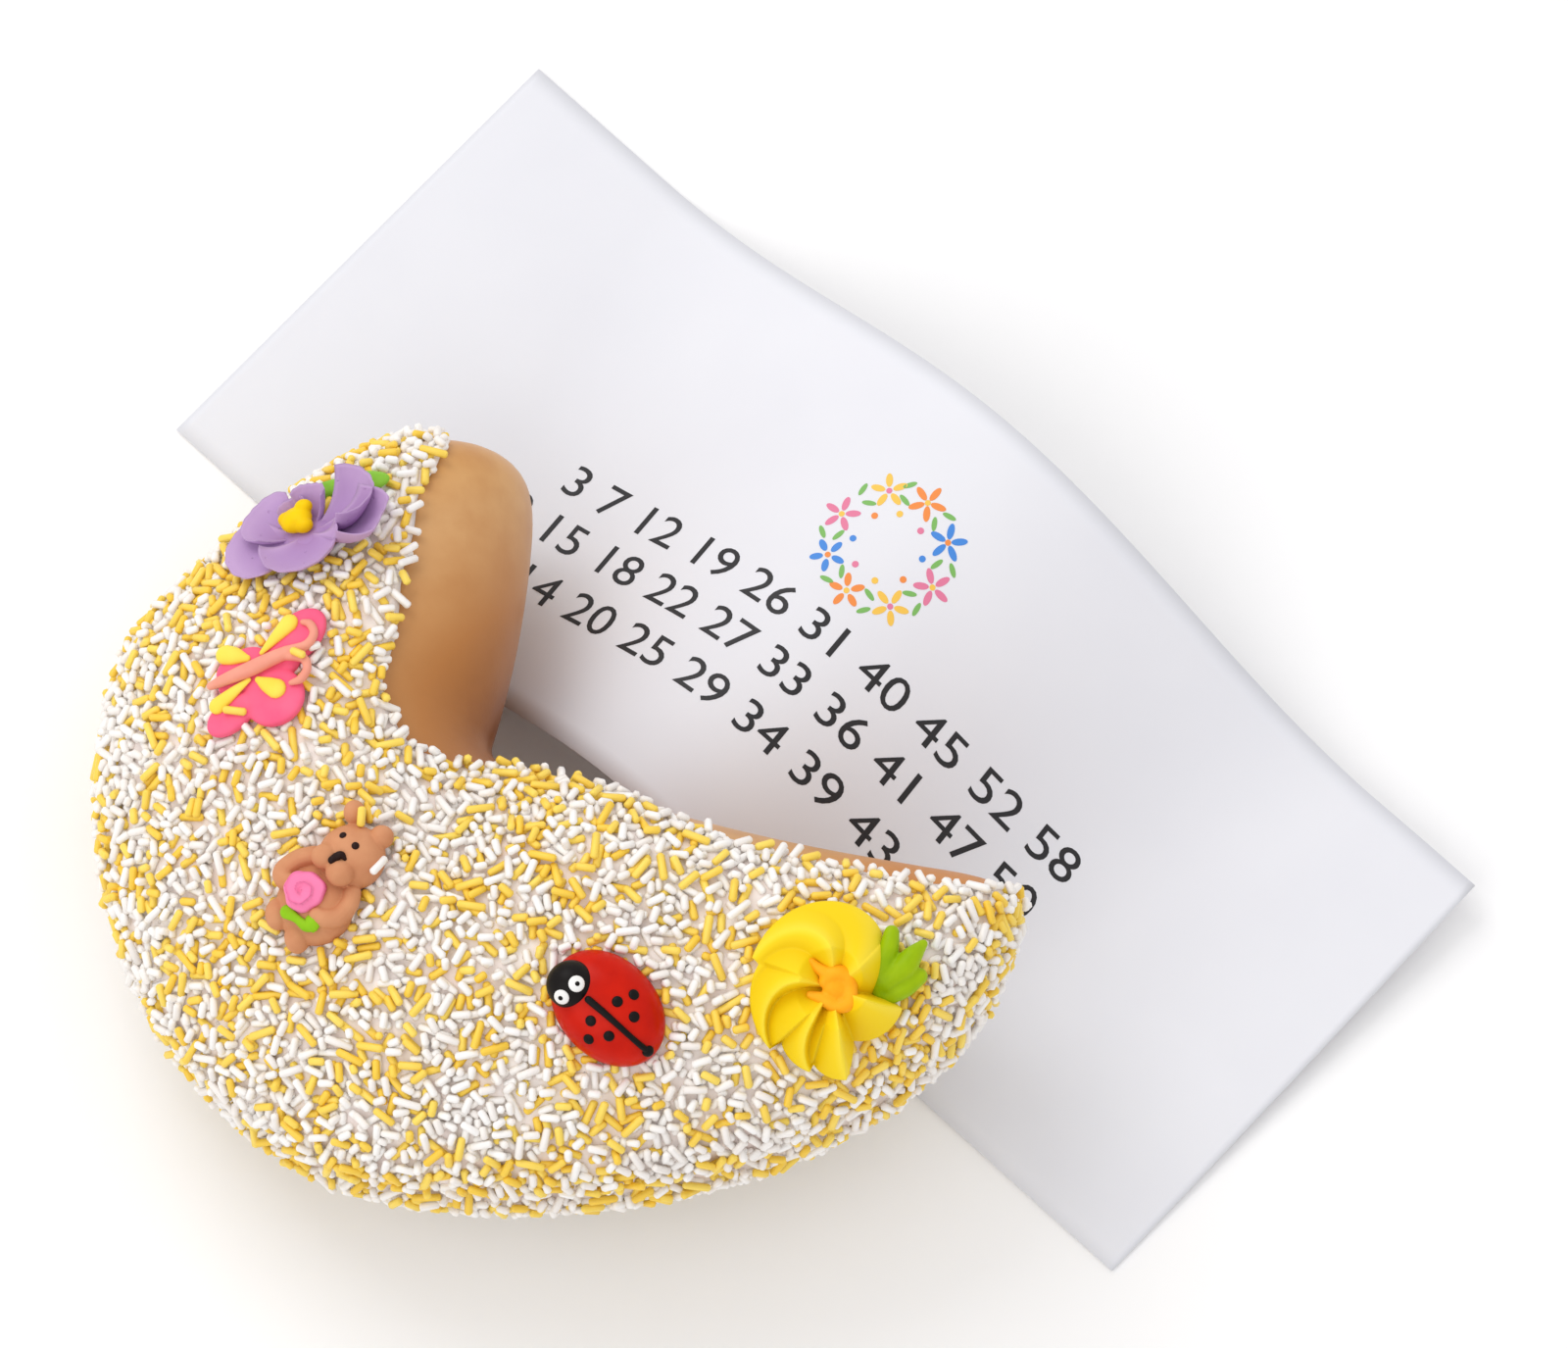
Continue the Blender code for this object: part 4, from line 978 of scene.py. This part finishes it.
dropFlower = {
    # soft icing pressed through a star tip: satin, with a painted highlight on the drawn crests and painted
    # shade deep in the folds
    "petalIcing": {
        "name": "bright yellow royal icing, piped and dried",
        "colour": "#F6D41A",
        "shade": "#E9C206",
        # the painted highlight along the crests
        "edge": "#FADD38",
        "tone": "tone",
        "roughness": 0.42,
    },
    "middleIcing": {
        "name": "orange royal icing, piped and dried",
        "colour": "#FFAA18",
        "shade": "#FFBA28",
        "roughness": 0.42,
    },
    "leafIcing": {
        "name": "apple green royal icing, piped and dried",
        "colour": "#A0BE08",
        "shade": "#88AC04",
        "roughness": 0.42,
    },
    # each petal: bearing of its crest at the rim, how far the crest sweeps round, length, depth and
    # sharpness of its notch, and how gently the icing falls behind the crest before it
    "petals": [
        (45, 4, 13.6, 0.40, 1.5, 0.2),
        (160, 66, 17.9, 0.26, 4.0, 1.25),
        (222, 55, 17.9, 0.10, 2.0, 0.55),
        (252, 20, 17.4, 0.14, 2.0, 0.2),
        (276, 4, 18.2, 0.15, 2.0, 0.2),
        (343, 6, 13.6, 0.30, 2.0, 0.2),
    ],
    "shift": 1.0,
    "height": 9.8,
    "hollow": 4.6,
    "middle": [
        [(3.4, 0.4, 7.2, 1.5), (2.6, 2.6, 7.4, 1.6), (0.2, 3.0, 7.4, 1.6), (-1.6, 1.4, 7.1, 1.4)],
        [
            (3.4, -0.2, 7.2, 1.5),
            (3, -2.8, 7.1, 1.7),
            (0.6, -3.4, 6.9, 1.5),
            (-2.4, -2, 6.8, 1.3),
            (-4.6, -1.2, 7, 0.8),
        ],
        [(0.6, 2.6, 7.2, 1.3), (-2.4, 3.6, 7.2, 1.2), (-4.4, 5.4, 7.4, 0.7)],
        [(1.2, -0.2, 6.2, 2.4), (0.2, 0.2, 6.4, 2.4)],
    ],
    "leaf": [
        [(9.6, -0.8, 3.0, 1.8), (10.0, 4.0, 4.0, 2.3), (11.2, 8.0, 4.2, 2.0), (11.8, 11.0, 3.6, 1.6)],
        [(10.5, 1.5, 3.4, 2.7), (14.0, 4.0, 4.6, 2.6), (15.8, 6.4, 4.6, 2.1), (18.0, 8.8, 3.6, 1.0)],
        [(10.8, -1.6, 2.6, 1.9), (14.2, 0.4, 3.4, 2.3), (17.2, 2.4, 3.4, 1.8)],
    ],
}


def buildDropFlower():
    yellow = icingMaterial(**dropFlower["petalIcing"])
    *flower, tones = swirlForm(*(dropFlower[key] for key in ("petals", "height", "hollow", "shift")))
    flower, nodes = [tuple(flower)], ["drop_flower"]
    icingPiece("dropFlower", flower, "dropFlower", yellow, "yellow_icing", nodes, cut=False, tones=tones)
    orange = icingMaterial(**dropFlower["middleIcing"])
    middle, nodes = [ropeForm(path) for path in dropFlower["middle"]], ["drop_flower_centre"]
    icingPiece("dropFlowerCentre", middle, "dropFlower", orange, "orange_icing", nodes, 0.3, 5, cut=False)
    green = icingMaterial(**dropFlower["leafIcing"])
    leaf, nodes = [ropeForm(path) for path in dropFlower["leaf"]], ["drop_flower_leaf"]
    icingPiece("dropFlowerLeaf", leaf, "dropFlower", green, "green_icing", nodes, 0.3, 3, cut=False)


for build in (buildViolet, buildButterfly, buildBear, buildLadybug, buildDropFlower):
    build()
print("icing pieces made")

# Sprinkles: soft sugar rods, extruded and broken up, packed longest first, with a second loose layer

sprinkles = {
    "seed": 7,
    "fewer": 1,
    "thick": 1.7 * mm,
    "lengths": [7.4 * mm, 6.0 * mm, 5.0 * mm, 4.2 * mm, 3.5 * mm, 2.8 * mm, 2.1 * mm],
    "tries": [60, 350, 1100, 3200, 9000, 30000, 60000],
    "lift": 0.35 * mm,
    "closest": 0.93,
    "loose": [
        {"tries": 16000, "lift": 1.55 * mm, "tilt": 25, "closest": 0.94, "kinds": (1, 2, 3, 3, 4, 4, 5, 5)},
        {"tries": 8000, "lift": 1.5 * mm, "tilt": 80, "closest": 0.9, "kinds": (4, 5, 5, 6)},
    ],
    "yellowShares": [0.5, 0.75, 0.65, 0.5, 0.34, 0.17, 0.08],
    # rods that lie on the icing: place in the photo in pixels, turn in degrees, kind and colour
    "strays": [
        ((308, 667), -30, 4, "yellow"),
        ((315, 699), -40, 3, "yellow"),
        ((244, 726), -12, 2, "yellow"),
        ((322, 658), 15, 5, "white"),
        ((373, 832), 85, 3, "yellow"),
        ((381, 829), 95, 2, "yellow"),
        ((389, 833), 80, 5, "yellow"),
        ((388, 881), 25, 2, "white"),
    ],
    "sides": 6,
    "white": ("#FAF7F3", "#F3ECE5"),
    "yellow": ("#FBDC60", "#F7CB3C"),
    "roughness": 0.42,
}


def segmentGaps(start, end, starts, ends):
    # the shortest distance from one straight line to each of many
    d1, d2, r = end - start, ends - starts, start - starts
    a, e = d1 @ d1, np.einsum("ij,ij->i", d2, d2)
    f, c, b = np.einsum("ij,ij->i", d2, r), r @ d1, d2 @ d1
    span = np.maximum(a * e - b * b, 1e-16)
    s = np.clip((b * f - c * e) / span, 0, 1)
    t = np.clip((b * s + f) / e, 0, 1)
    s = np.clip((b * t - c) / a, 0, 1)
    return np.linalg.norm((start + np.outer(s, d1)) - (starts + t[:, None] * d2), axis=1)


class Packing:
    # rods laid so far, kept in cells a little longer than the longest rod

    def __init__(self, cell):
        self.cell = cell
        self.cells = {}
        self.starts, self.ends = [], []

    def near(self, middle):
        key = np.floor(middle / self.cell).astype(int)
        steps = (-1, 0, 1)
        around = ((key[0] + i, key[1] + j, key[2] + k) for i in steps for j in steps for k in steps)
        return [n for cell in around for n in self.cells.get(cell, ())]

    def gap(self, start, end):
        close = self.near((start + end) / 2)
        if not close:
            return 1.0
        starts, ends = (np.array([side[n] for n in close]) for side in (self.starts, self.ends))
        return segmentGaps(start, end, starts, ends).min()

    def add(self, start, end):
        key = tuple(np.floor((start + end) / 2 / self.cell).astype(int))
        self.cells.setdefault(key, []).append(len(self.starts))
        self.starts.append(start)
        self.ends.append(end)


def coatedGround():
    # where sprinkles may lie: the coating's outside with smooth normals, without the seam's groove
    rings = [coated for coated, _ in cookieRings(cookie["coatOutside"])]
    columns = len(rings[0])
    shell = cookie["shellSteps"]
    points = np.array(rings)
    across = np.gradient(points, axis=1)
    along = np.gradient(points, axis=0)
    normals = np.cross(along, across)
    normals /= np.maximum(np.linalg.norm(normals, axis=2, keepdims=True), 1e-12)
    if normals[len(rings) // 2, shell // 2][2] < 0:
        normals = -normals
    strips = [j for j in range(columns - 1) if j < shell + 2 or j > columns - shell - 4]
    quads = [(i, j) for i in range(1, len(rings) - 2) for j in strips]
    areas = []
    for i, j in quads:
        a, b, c = points[i, j], points[i, j + 1], points[i + 1, j]
        areas.append(np.linalg.norm(np.cross(b - a, c - a)))
    return points, normals, quads, np.cumsum(areas)


def layOutSprinkles(icingTree):
    draw = random.Random(sprinkles["seed"])
    points, normals, quads, areas = coatedGround()
    radius = sprinkles["thick"] / 2
    packed, loose = Packing(8 * mm), Packing(8 * mm)
    rods = []

    def spot():
        i, j = quads[min(int(np.searchsorted(areas, draw.random() * areas[-1])), len(quads) - 1)]
        u, v = draw.random(), draw.random()
        weights = ((1 - u) * (1 - v), u * (1 - v), (1 - u) * v, u * v)
        corners = ((i, j), (i + 1, j), (i, j + 1), (i + 1, j + 1))
        place = sum(w * points[c] for w, c in zip(weights, corners))
        out = sum(w * normals[c] for w, c in zip(weights, corners))
        return place, out / max(np.linalg.norm(out), 1e-9)

    def lay(kind, lift, tilt, closest, ground):
        place, out = spot()
        side = np.cross(out, (0.3, 0.5, 0.8))
        side /= np.linalg.norm(side)
        turn = draw.uniform(0, math.pi)
        lean = math.radians(draw.uniform(-tilt, tilt))
        flat = math.cos(turn) * side + math.sin(turn) * np.cross(out, side)
        way = math.cos(lean) * flat + math.sin(lean) * out
        middle = place + out * (lift + draw.uniform(-0.12, 0.2) * mm)
        half = way * (sprinkles["lengths"][kind] / 2 - radius)
        low = min((middle - half)[2], (middle + half)[2]) - radius
        if low < 0.02 * mm:
            middle = middle + np.array((0, 0, min(0.02 * mm - low, 1.0 * mm)))
            if low < -1.0 * mm:
                return
        start, end = middle - half, middle + half
        if ground.gap(start, end) < 2 * radius * closest:
            return
        if lift > radius:
            if packed.gap(start, end) < 0.95 * radius:
                return
            if any(icingTree.find_nearest(Vector(tip))[3] < 1.1 * mm for tip in (start, end)):
                return
        ground.add(start, end)
        rods.append((middle, way, out, kind))

    for kind, tries in enumerate(sprinkles["tries"]):
        for _ in range(tries // sprinkles["fewer"]):
            lay(kind, sprinkles["lift"], 6, sprinkles["closest"], packed)
    for layer in sprinkles["loose"]:
        for _ in range(layer["tries"] // sprinkles["fewer"]):
            lay(draw.choice(layer["kinds"]), layer["lift"], layer["tilt"], layer["closest"], loose)
    return [(*rod, None) for rod in rods] + strayRods(icingTree)


def strayRods(icingTree):
    # follows each stray's line of sight down to the icing or the coating below it
    rise = math.radians(stage["elevation"])
    eye = Vector(stage["target"]) + Vector((0, -math.cos(rise), math.sin(rise))) * stage["distance"]
    rods = []
    (middleX, middleY), pixel = stage["photoCentre"], stage["photoPixel"]
    for (px, py), turn, kind, colour in sprinkles["strays"]:
        ground = Vector(((px - middleX) * pixel, (middleY - py) * pixel / math.sin(rise), 0))
        sight = (ground - eye).normalized()
        hits = [tree.ray_cast(eye, sight) for tree in (icingTree, solidTree)]
        spot, out = min((hit for hit in hits if hit[0]), key=lambda hit: hit[3])[:2]
        side = (Vector((1, 0, 0)) - out * out.x).normalized()
        way = side * math.cos(math.radians(turn)) + out.cross(side) * math.sin(math.radians(turn))
        middle = spot + out * sprinkles["thick"] * 0.45
        rods.append((np.array(middle), np.array(way), np.array(out), kind, colour))
    return rods


def rodShape(name, length):
    radius, sides = sprinkles["thick"] / 2, sprinkles["sides"]
    straight = length / 2 - radius
    # the ends are broken round, so the rod narrows to 0.64 of its radius close to each tip
    profile = [(straight + radius * 0.45, 1), (straight + radius * 0.88, 0.64)]
    profile = [(-x, share) for x, share in profile[::-1]] + profile
    points = [(-length / 2, 0, 0)]
    for x, share in profile:
        for k in range(sides):
            turn = 2 * math.pi * k / sides
            points.append((x, radius * share * math.cos(turn), radius * share * math.sin(turn)))
    points.append((length / 2, 0, 0))
    faces = [(0, 1 + (k + 1) % sides, 1 + k) for k in range(sides)]
    faces += gridFaces(4, sides, first=1, closed=True)
    last = 1 + 3 * sides
    faces += [(len(points) - 1, last + k, last + (k + 1) % sides) for k in range(sides)]
    return meshPiece(name, points, faces)


def sprinkleTree():
    tree = bpy.data.node_groups.new("layOutRods", "GeometryNodeTree")
    inputs = {"Places": "Geometry", "Rods": "Collection", "Thickness": "Float", "Finish": "Material"}
    for name, kind in inputs.items():
        tree.interface.new_socket(name, in_out="INPUT", socket_type="NodeSocket" + kind)
    tree.interface.new_socket("Sprinkles", in_out="OUTPUT", socket_type="NodeSocketGeometry")
    given = addNode(tree, "NodeGroupInput")
    apart = {"Separate Children": True, "Reset Children": True}
    rods = addNode(tree, "GeometryNodeCollectionInfo", apart, Collection=given.outputs["Rods"])
    kind = addNode(tree, "GeometryNodeInputNamedAttribute", {"data_type": "INT", "Name": "kind"})
    turn = addNode(tree, "GeometryNodeInputNamedAttribute", {"data_type": "FLOAT_VECTOR", "Name": "turn"})
    laid = addNode(
        tree,
        "GeometryNodeInstanceOnPoints",
        {"Pick Instance": True},
        Points=given.outputs["Places"],
        Instance=rods.outputs["Instances"],
        Instance_Index=kind.outputs["Attribute"],
        Rotation=turn.outputs["Attribute"],
        Scale=given.outputs["Thickness"],
    )
    real = addNode(tree, "GeometryNodeRealizeInstances", Geometry=laid.outputs["Instances"])
    glazed = addNode(
        tree,
        "GeometryNodeSetMaterial",
        Geometry=real.outputs["Geometry"],
        Material=given.outputs["Finish"],
    )
    addNode(tree, "NodeGroupOutput", Sprinkles=glazed.outputs["Geometry"])
    return tree


def sprinklePiece(name, rods, tree, shapes, material):
    mesh = bpy.data.meshes.new(name + "Places")
    mesh.from_pydata([tuple(rod[0]) for rod in rods], [], [])
    draw = random.Random(len(rods))
    turns = []
    for _, way, out, *_ in rods:
        x = Vector(way)
        y = Vector(out).cross(x).normalized()
        turns += Matrix((x, y, x.cross(y))).transposed().to_euler()
    values = {"kind": [rod[3] for rod in rods], "turn": turns, "tint": [draw.random() for _ in rods]}
    for key, form in (("kind", "INT"), ("turn", "FLOAT_VECTOR"), ("tint", "FLOAT")):
        mesh.attributes.new(key, form, "POINT")
        mesh.attributes[key].data.foreach_set("vector" if key == "turn" else "value", values[key])
    holder = pieceFrom(name + "Places", mesh)
    modifier = holder.modifiers.new("layOutRods", "NODES")
    modifier.node_group = tree
    values = {"Rods": shapes, "Thickness": 1.0, "Finish": material}
    for socket in tree.interface.items_tree:
        if socket.item_type == "SOCKET" and socket.name in values:
            modifier[socket.identifier] = values[socket.name]
    piece = applied(holder, name)
    piece.data.shade_smooth()
    standFor(piece, "white_coating")


def sugarMaterial(name, tones):
    # sugar paste under a thin glaze: satin, each rod a little lighter or darker than the next
    material, tree, shader = newMaterial(name)
    tint = addNode(tree, "ShaderNodeAttribute", {"attribute_name": "tint"})
    stops = list(enumerate(tones))
    tone = addNode(tree, "ShaderNodeValToRGB", {"stops": stops}, Fac=tint.outputs["Fac"])
    finishMaterial(tree, shader, tone.outputs["Color"], roughness=sprinkles["roughness"])
    return material


def buildSprinkles(icingTree):
    rods = layOutSprinkles(icingTree)
    shapes = bpy.data.collections.new("rodShapes")
    shapePieces = [rodShape(f"rod{i}", length) for i, length in enumerate(sprinkles["lengths"])]
    for shape in shapePieces:
        shapes.objects.link(shape)
        bpy.context.scene.collection.objects.unlink(shape)
    draw = random.Random(3)
    groups = {"yellow": [], "whiteUpper": [], "whiteLower": []}
    for rod in rods:
        x, y, z = rod[0] / mm
        patch = 0.07 * (math.sin(x / 9.0 + math.cos(y / 7.0)) + math.sin(y / 11.0 + z / 8.0 + 1.3))
        chance = sprinkles["yellowShares"][rod[3]] + patch
        colour = rod[4] or ("yellow" if draw.random() < chance else "white")
        if colour == "yellow":
            groups["yellow"].append(rod)
        else:
            groups["whiteUpper" if rod[2][2] > 0.25 else "whiteLower"].append(rod)
    tree = sprinkleTree()
    white = sugarMaterial("white sugar rods, extruded and glazed", sprinkles["white"])
    yellow = sugarMaterial("yellow sugar rods, extruded and glazed", sprinkles["yellow"])
    for name, some in groups.items():
        sprinklePiece(name + "Sprinkles", some, tree, shapes, yellow if name == "yellow" else white)
    for shape in shapePieces:
        bpy.data.objects.remove(shape)
    bpy.data.collections.remove(shapes)
    print("sprinkles laid:", {name: len(some) for name, some in groups.items()})


def icingGround():
    # every icing node's surface, so that loose sprinkles keep off it
    points, faces = [], []
    for name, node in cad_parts.items():
        if name in ("white_coating", "baked_cookie", "message_slip"):
            continue
        first = len(points)
        points += [node.matrix_world @ v.co for v in node.data.vertices]
        faces += [[first + i for i in p.vertices] for p in node.data.polygons]
    return BVHTree.FromPolygons(points, faces)


buildSprinkles(icingGround())

# Paper slip: calendered office paper, so matt and even, bowed up between the horns

slip = {
    "long": 261.6 * mm,
    "wide": 108 * mm,
    "thick": 0.4 * mm,
    "corner": (-124.3 * mm, 49.8 * mm),
    "bearing": math.radians(-43.2),
    "rise": (29 * mm, 38 * mm),
    "peak": (0.49, 0.52),
    "spread": (0.25, 0.38),
    "curl": 8 * mm,
    "steps": (160, 24),
    "colour": "#E6E6EA",
    "shade": "#E1E1E6",
    "cloudMm": 30,
    "fibreMm": 0.6,  # coarser than real fibres, so that they show
    "roughness": 0.75,
}


def slipPoint(along, across):
    rise = blend(*slip["rise"], across)
    off = min(abs(along - blend(*slip["peak"], across)) / blend(*slip["spread"], across), 1)
    cosine, sine = math.cos(slip["bearing"]), math.sin(slip["bearing"])
    x = slip["corner"][0] + along * slip["long"] * cosine - across * slip["wide"] * sine
    y = slip["corner"][1] + along * slip["long"] * sine + across * slip["wide"] * cosine
    curl = slip["curl"] * ease((along - 0.55) / 0.45) * max(across, 0) ** 1.5
    return Vector((x, y, rise * math.cos(math.pi / 2 * off) ** 2 + curl))


def paperMaterial():
    material, tree, shader = newMaterial("office paper, calendered")
    place = addNode(tree, "ShaderNodeTexCoord").outputs["Object"]
    cloud = addNode(tree, "ShaderNodeTexNoise", {"Scale": 1000 / slip["cloudMm"], "Detail": 2}, Vector=place)
    fibres = addNode(tree, "ShaderNodeTexNoise", {"Scale": 1000 / slip["fibreMm"], "Detail": 4}, Vector=place)
    stops = [(0.2, slip["colour"]), (0.9, slip["shade"])]
    tone = addNode(tree, "ShaderNodeValToRGB", {"stops": stops}, Fac=cloud.outputs["Fac"])
    depth = {"Strength": 0.05, "Distance": 0.05 * mm}
    bump = addNode(tree, "ShaderNodeBump", depth, Height=fibres.outputs["Fac"])
    finishMaterial(tree, shader, tone.outputs["Color"], bump.outputs["Normal"], slip["roughness"])
    return material


def slipPiece():
    longSteps, wideSteps = slip["steps"]
    points = []
    for lift in (0, slip["thick"]):
        for i in range(longSteps + 1):
            row = [slipPoint(i / longSteps, j / wideSteps) for j in range(wideSteps + 1)]
            points += [point + Vector((0, 0, lift)) for point in row]
    return meshPiece("paperSlip", points, sheetFaces(longSteps + 1, wideSteps + 1), paperMaterial())


standFor(slipPiece(), "paper", "message_slip")
print("slip made")

# Print on the slip: rows of plain numerals and a ring of plain blossoms. Toner fused to paper is dense and
# a little smoother than the sheet

ink = {
    # each row: its numerals, and where its line starts and ends, as shares of the slip's length and width
    "rows": [
        ("3 7 12 19 26 31 40 45 52 58", (0.253, 0.404), (0.765, 0.480)),
        ("4 9 15 18 22 27 33 36 41 47 50", (0.195, 0.292), (0.760, 0.375)),
        ("2 6 11 14 20 25 29 34 39 43 48", (0.150, 0.176), (0.720, 0.258)),
    ],
    "tall": 10.0,
    "roughness": 0.55,
    "longestEdge": 4.0,
    "above": (0.02, 0.06),
    "ringAt": (0.503, 0.672),
    "ring": 12.2,
    "blossoms": 8,
    "petals": 5,
    "petalAt": 2.35,
    "petalLong": (1.35, 1.7),
    "petalWide": 0.72,
    "eye": 0.62,
    "leafAside": 1.7,
    "leaf": (1.5, 0.55),
    "dotRing": 7.4,
    "dot": 0.7,
    # petal, eye and inner dot of each blossom, over and over
    "blossomColours": [
        ("pink", "yellow", "blue"),
        ("blue", "orange", "pink"),
        ("orange", "yellow", "yellow"),
        ("yellow", "pink", "orange"),
    ],
    "colours": {
        "black": "#1B191C",
        "pink": "#E0789A",
        "blue": "#3F86D8",
        "yellow": "#F2C24C",
        "orange": "#EE8A3C",
        "green": "#79B45A",
    },
}


def inkPiece(name, flat, colour):
    # flat holds triangles in millimetres along and across the slip; both sides of the ink follow the paper
    for _ in range(4):
        edges = [e for e in flat.edges if e.calc_length() > ink["longestEdge"]]
        if edges:
            bmesh.ops.subdivide_edges(flat, edges=edges, cuts=1)
            bmesh.ops.triangulate(flat, faces=flat.faces)
    fresh = bmesh.ops.extrude_face_region(flat, geom=flat.faces[:])["geom"]
    for item in fresh:
        if isinstance(item, bmesh.types.BMVert):
            item.co.z = 1
    for vert in flat.verts:
        x, y, level = vert.co
        lift = slip["thick"] + blend(*ink["above"], level) * mm
        vert.co = slipPoint(x * mm / slip["long"], y * mm / slip["wide"]) + Vector((0, 0, lift))
    bmesh.ops.recalc_face_normals(flat, faces=flat.faces)
    mesh = bpy.data.meshes.new(name)
    flat.to_mesh(mesh)
    flat.free()
    material, tree, shader = newMaterial(f"{colour} toner, fused to the paper")
    shader.inputs["Base Color"].default_value = hexColour(ink["colours"][colour])
    shader.inputs["Roughness"].default_value = ink["roughness"]
    mesh.materials.append(material)
    standFor(pieceFrom(name, mesh), "paper")


def numeralRow(flat, text, start, end):
    # one row of numerals set along a straight line on the slip
    curve = bpy.data.curves.new("numerals", "FONT")
    curve.body, curve.size, curve.resolution_u = text, ink["tall"], 4
    mesh = applied(pieceFrom("numerals", curve), "numerals").data
    a, b = (Vector((x * slip["long"] / mm, y * slip["wide"] / mm)) for x, y in (start, end))
    way = (b - a).normalized()
    stretch = (b - a).length / max(v.co.x for v in mesh.vertices)
    for v in mesh.vertices:
        x, y = v.co.x * stretch, v.co.y
        v.co = (a.x + way.x * x - way.y * y, a.y + way.y * x + way.x * y, 0)
    flat.from_mesh(mesh)
    bpy.data.meshes.remove(mesh)
    bpy.data.curves.remove(curve)


def blob(flat, x, y, wide, tall, turn):
    cosine, sine = math.cos(turn), math.sin(turn)
    corners = []
    for k in range(18):
        a, b = wide * math.cos(k * math.pi / 9), tall * math.sin(k * math.pi / 9)
        corners.append(flat.verts.new((x + a * cosine - b * sine, y + a * sine + b * cosine, 0)))
    flat.faces.new(corners)


def buildPrint():
    flat = bmesh.new()
    for text, start, end in ink["rows"]:
        numeralRow(flat, text, start, end)
    bmesh.ops.remove_doubles(flat, verts=flat.verts, dist=0.001)
    bmesh.ops.triangulate(flat, faces=flat.faces)
    inkPiece("numeralPrint", flat, "black")
    buildRing()


def buildRing():
    layers = {colour: bmesh.new() for colour in ink["colours"] if colour != "black"}
    centre = (ink["ringAt"][0] * slip["long"] / mm, ink["ringAt"][1] * slip["wide"] / mm)
    draw = random.Random(5)

    def around(middle, reach, turn):
        return middle[0] + reach * math.cos(turn), middle[1] + reach * math.sin(turn)

    for k in range(ink["blossoms"]):
        turn = 2 * math.pi * k / ink["blossoms"] + draw.uniform(-0.06, 0.06)
        spot = around(centre, ink["ring"], turn)
        petal, eye, dot = ink["blossomColours"][k % 4]
        size = draw.uniform(*ink["petalLong"])
        for p in range(ink["petals"]):
            spin = turn + 2 * math.pi * p / ink["petals"]
            blob(layers[petal], *around(spot, ink["petalAt"], spin), size, ink["petalWide"], spin)
        blob(layers[eye], *spot, ink["eye"], ink["eye"], 0)
        between = turn + math.pi / ink["blossoms"]
        for side in (-1, 1):
            leafSpot = around(centre, ink["ring"] + side * ink["leafAside"], between)
            blob(layers["green"], *leafSpot, *ink["leaf"], between + math.pi / 2 + side * 0.6)
        blob(layers[dot], *around(centre, ink["dotRing"], between), ink["dot"], ink["dot"], 0)
    for colour, layer in layers.items():
        bmesh.ops.triangulate(layer, faces=layer.faces)
        inkPiece(colour + "Print", layer, colour)


buildPrint()
print("print made")

# Studio: a pale matt floor, an even sky, a key lamp from behind the left and a fill from the front left


def buildStage():
    floorMaterial, tree, shader = newMaterial("pale studio floor, matt paint")
    shader.inputs["Base Color"].default_value = hexColour(stage["floor"])
    shader.inputs["Roughness"].default_value = 0.9
    half, drop = stage["floorHalf"], -stage["floorDrop"]
    corners = [(-half, -half, drop), (half, -half, drop), (half, half, drop), (-half, half, drop)]
    meshPiece("studioFloor", corners, [(0, 1, 2, 3)], floorMaterial)
    world = bpy.data.worlds.new("studio")
    bpy.context.scene.world = world
    world.use_nodes = True
    sky = world.node_tree.nodes["Background"]
    sky.inputs["Color"].default_value = hexColour(stage["sky"])
    sky.inputs["Strength"].default_value = stage["skyStrength"]
    for name, (place, size, power) in stage["lamps"].items():
        lamp = bpy.data.lights.new(name, "AREA")
        lamp.size, lamp.energy = size, power
        holder = pieceFrom(name, lamp)
        holder.location = place
        holder.rotation_euler = (-Vector(place)).to_track_quat("-Z", "Y").to_euler()
    camera = bpy.data.cameras.new("photoCamera")
    camera.sensor_width, camera.lens = stage["sensor"], stage["lens"]
    holder = pieceFrom("photoCamera", camera)
    rise = math.radians(stage["elevation"])
    back = Vector((0, -math.cos(rise), math.sin(rise))) * stage["distance"]
    holder.location = Vector(stage["target"]) + back
    holder.rotation_euler = (math.pi / 2 - rise, 0, 0)
    bpy.context.scene.camera = holder


buildStage()
bpy.context.scene.view_settings.view_transform = "Standard"
print("stage set")
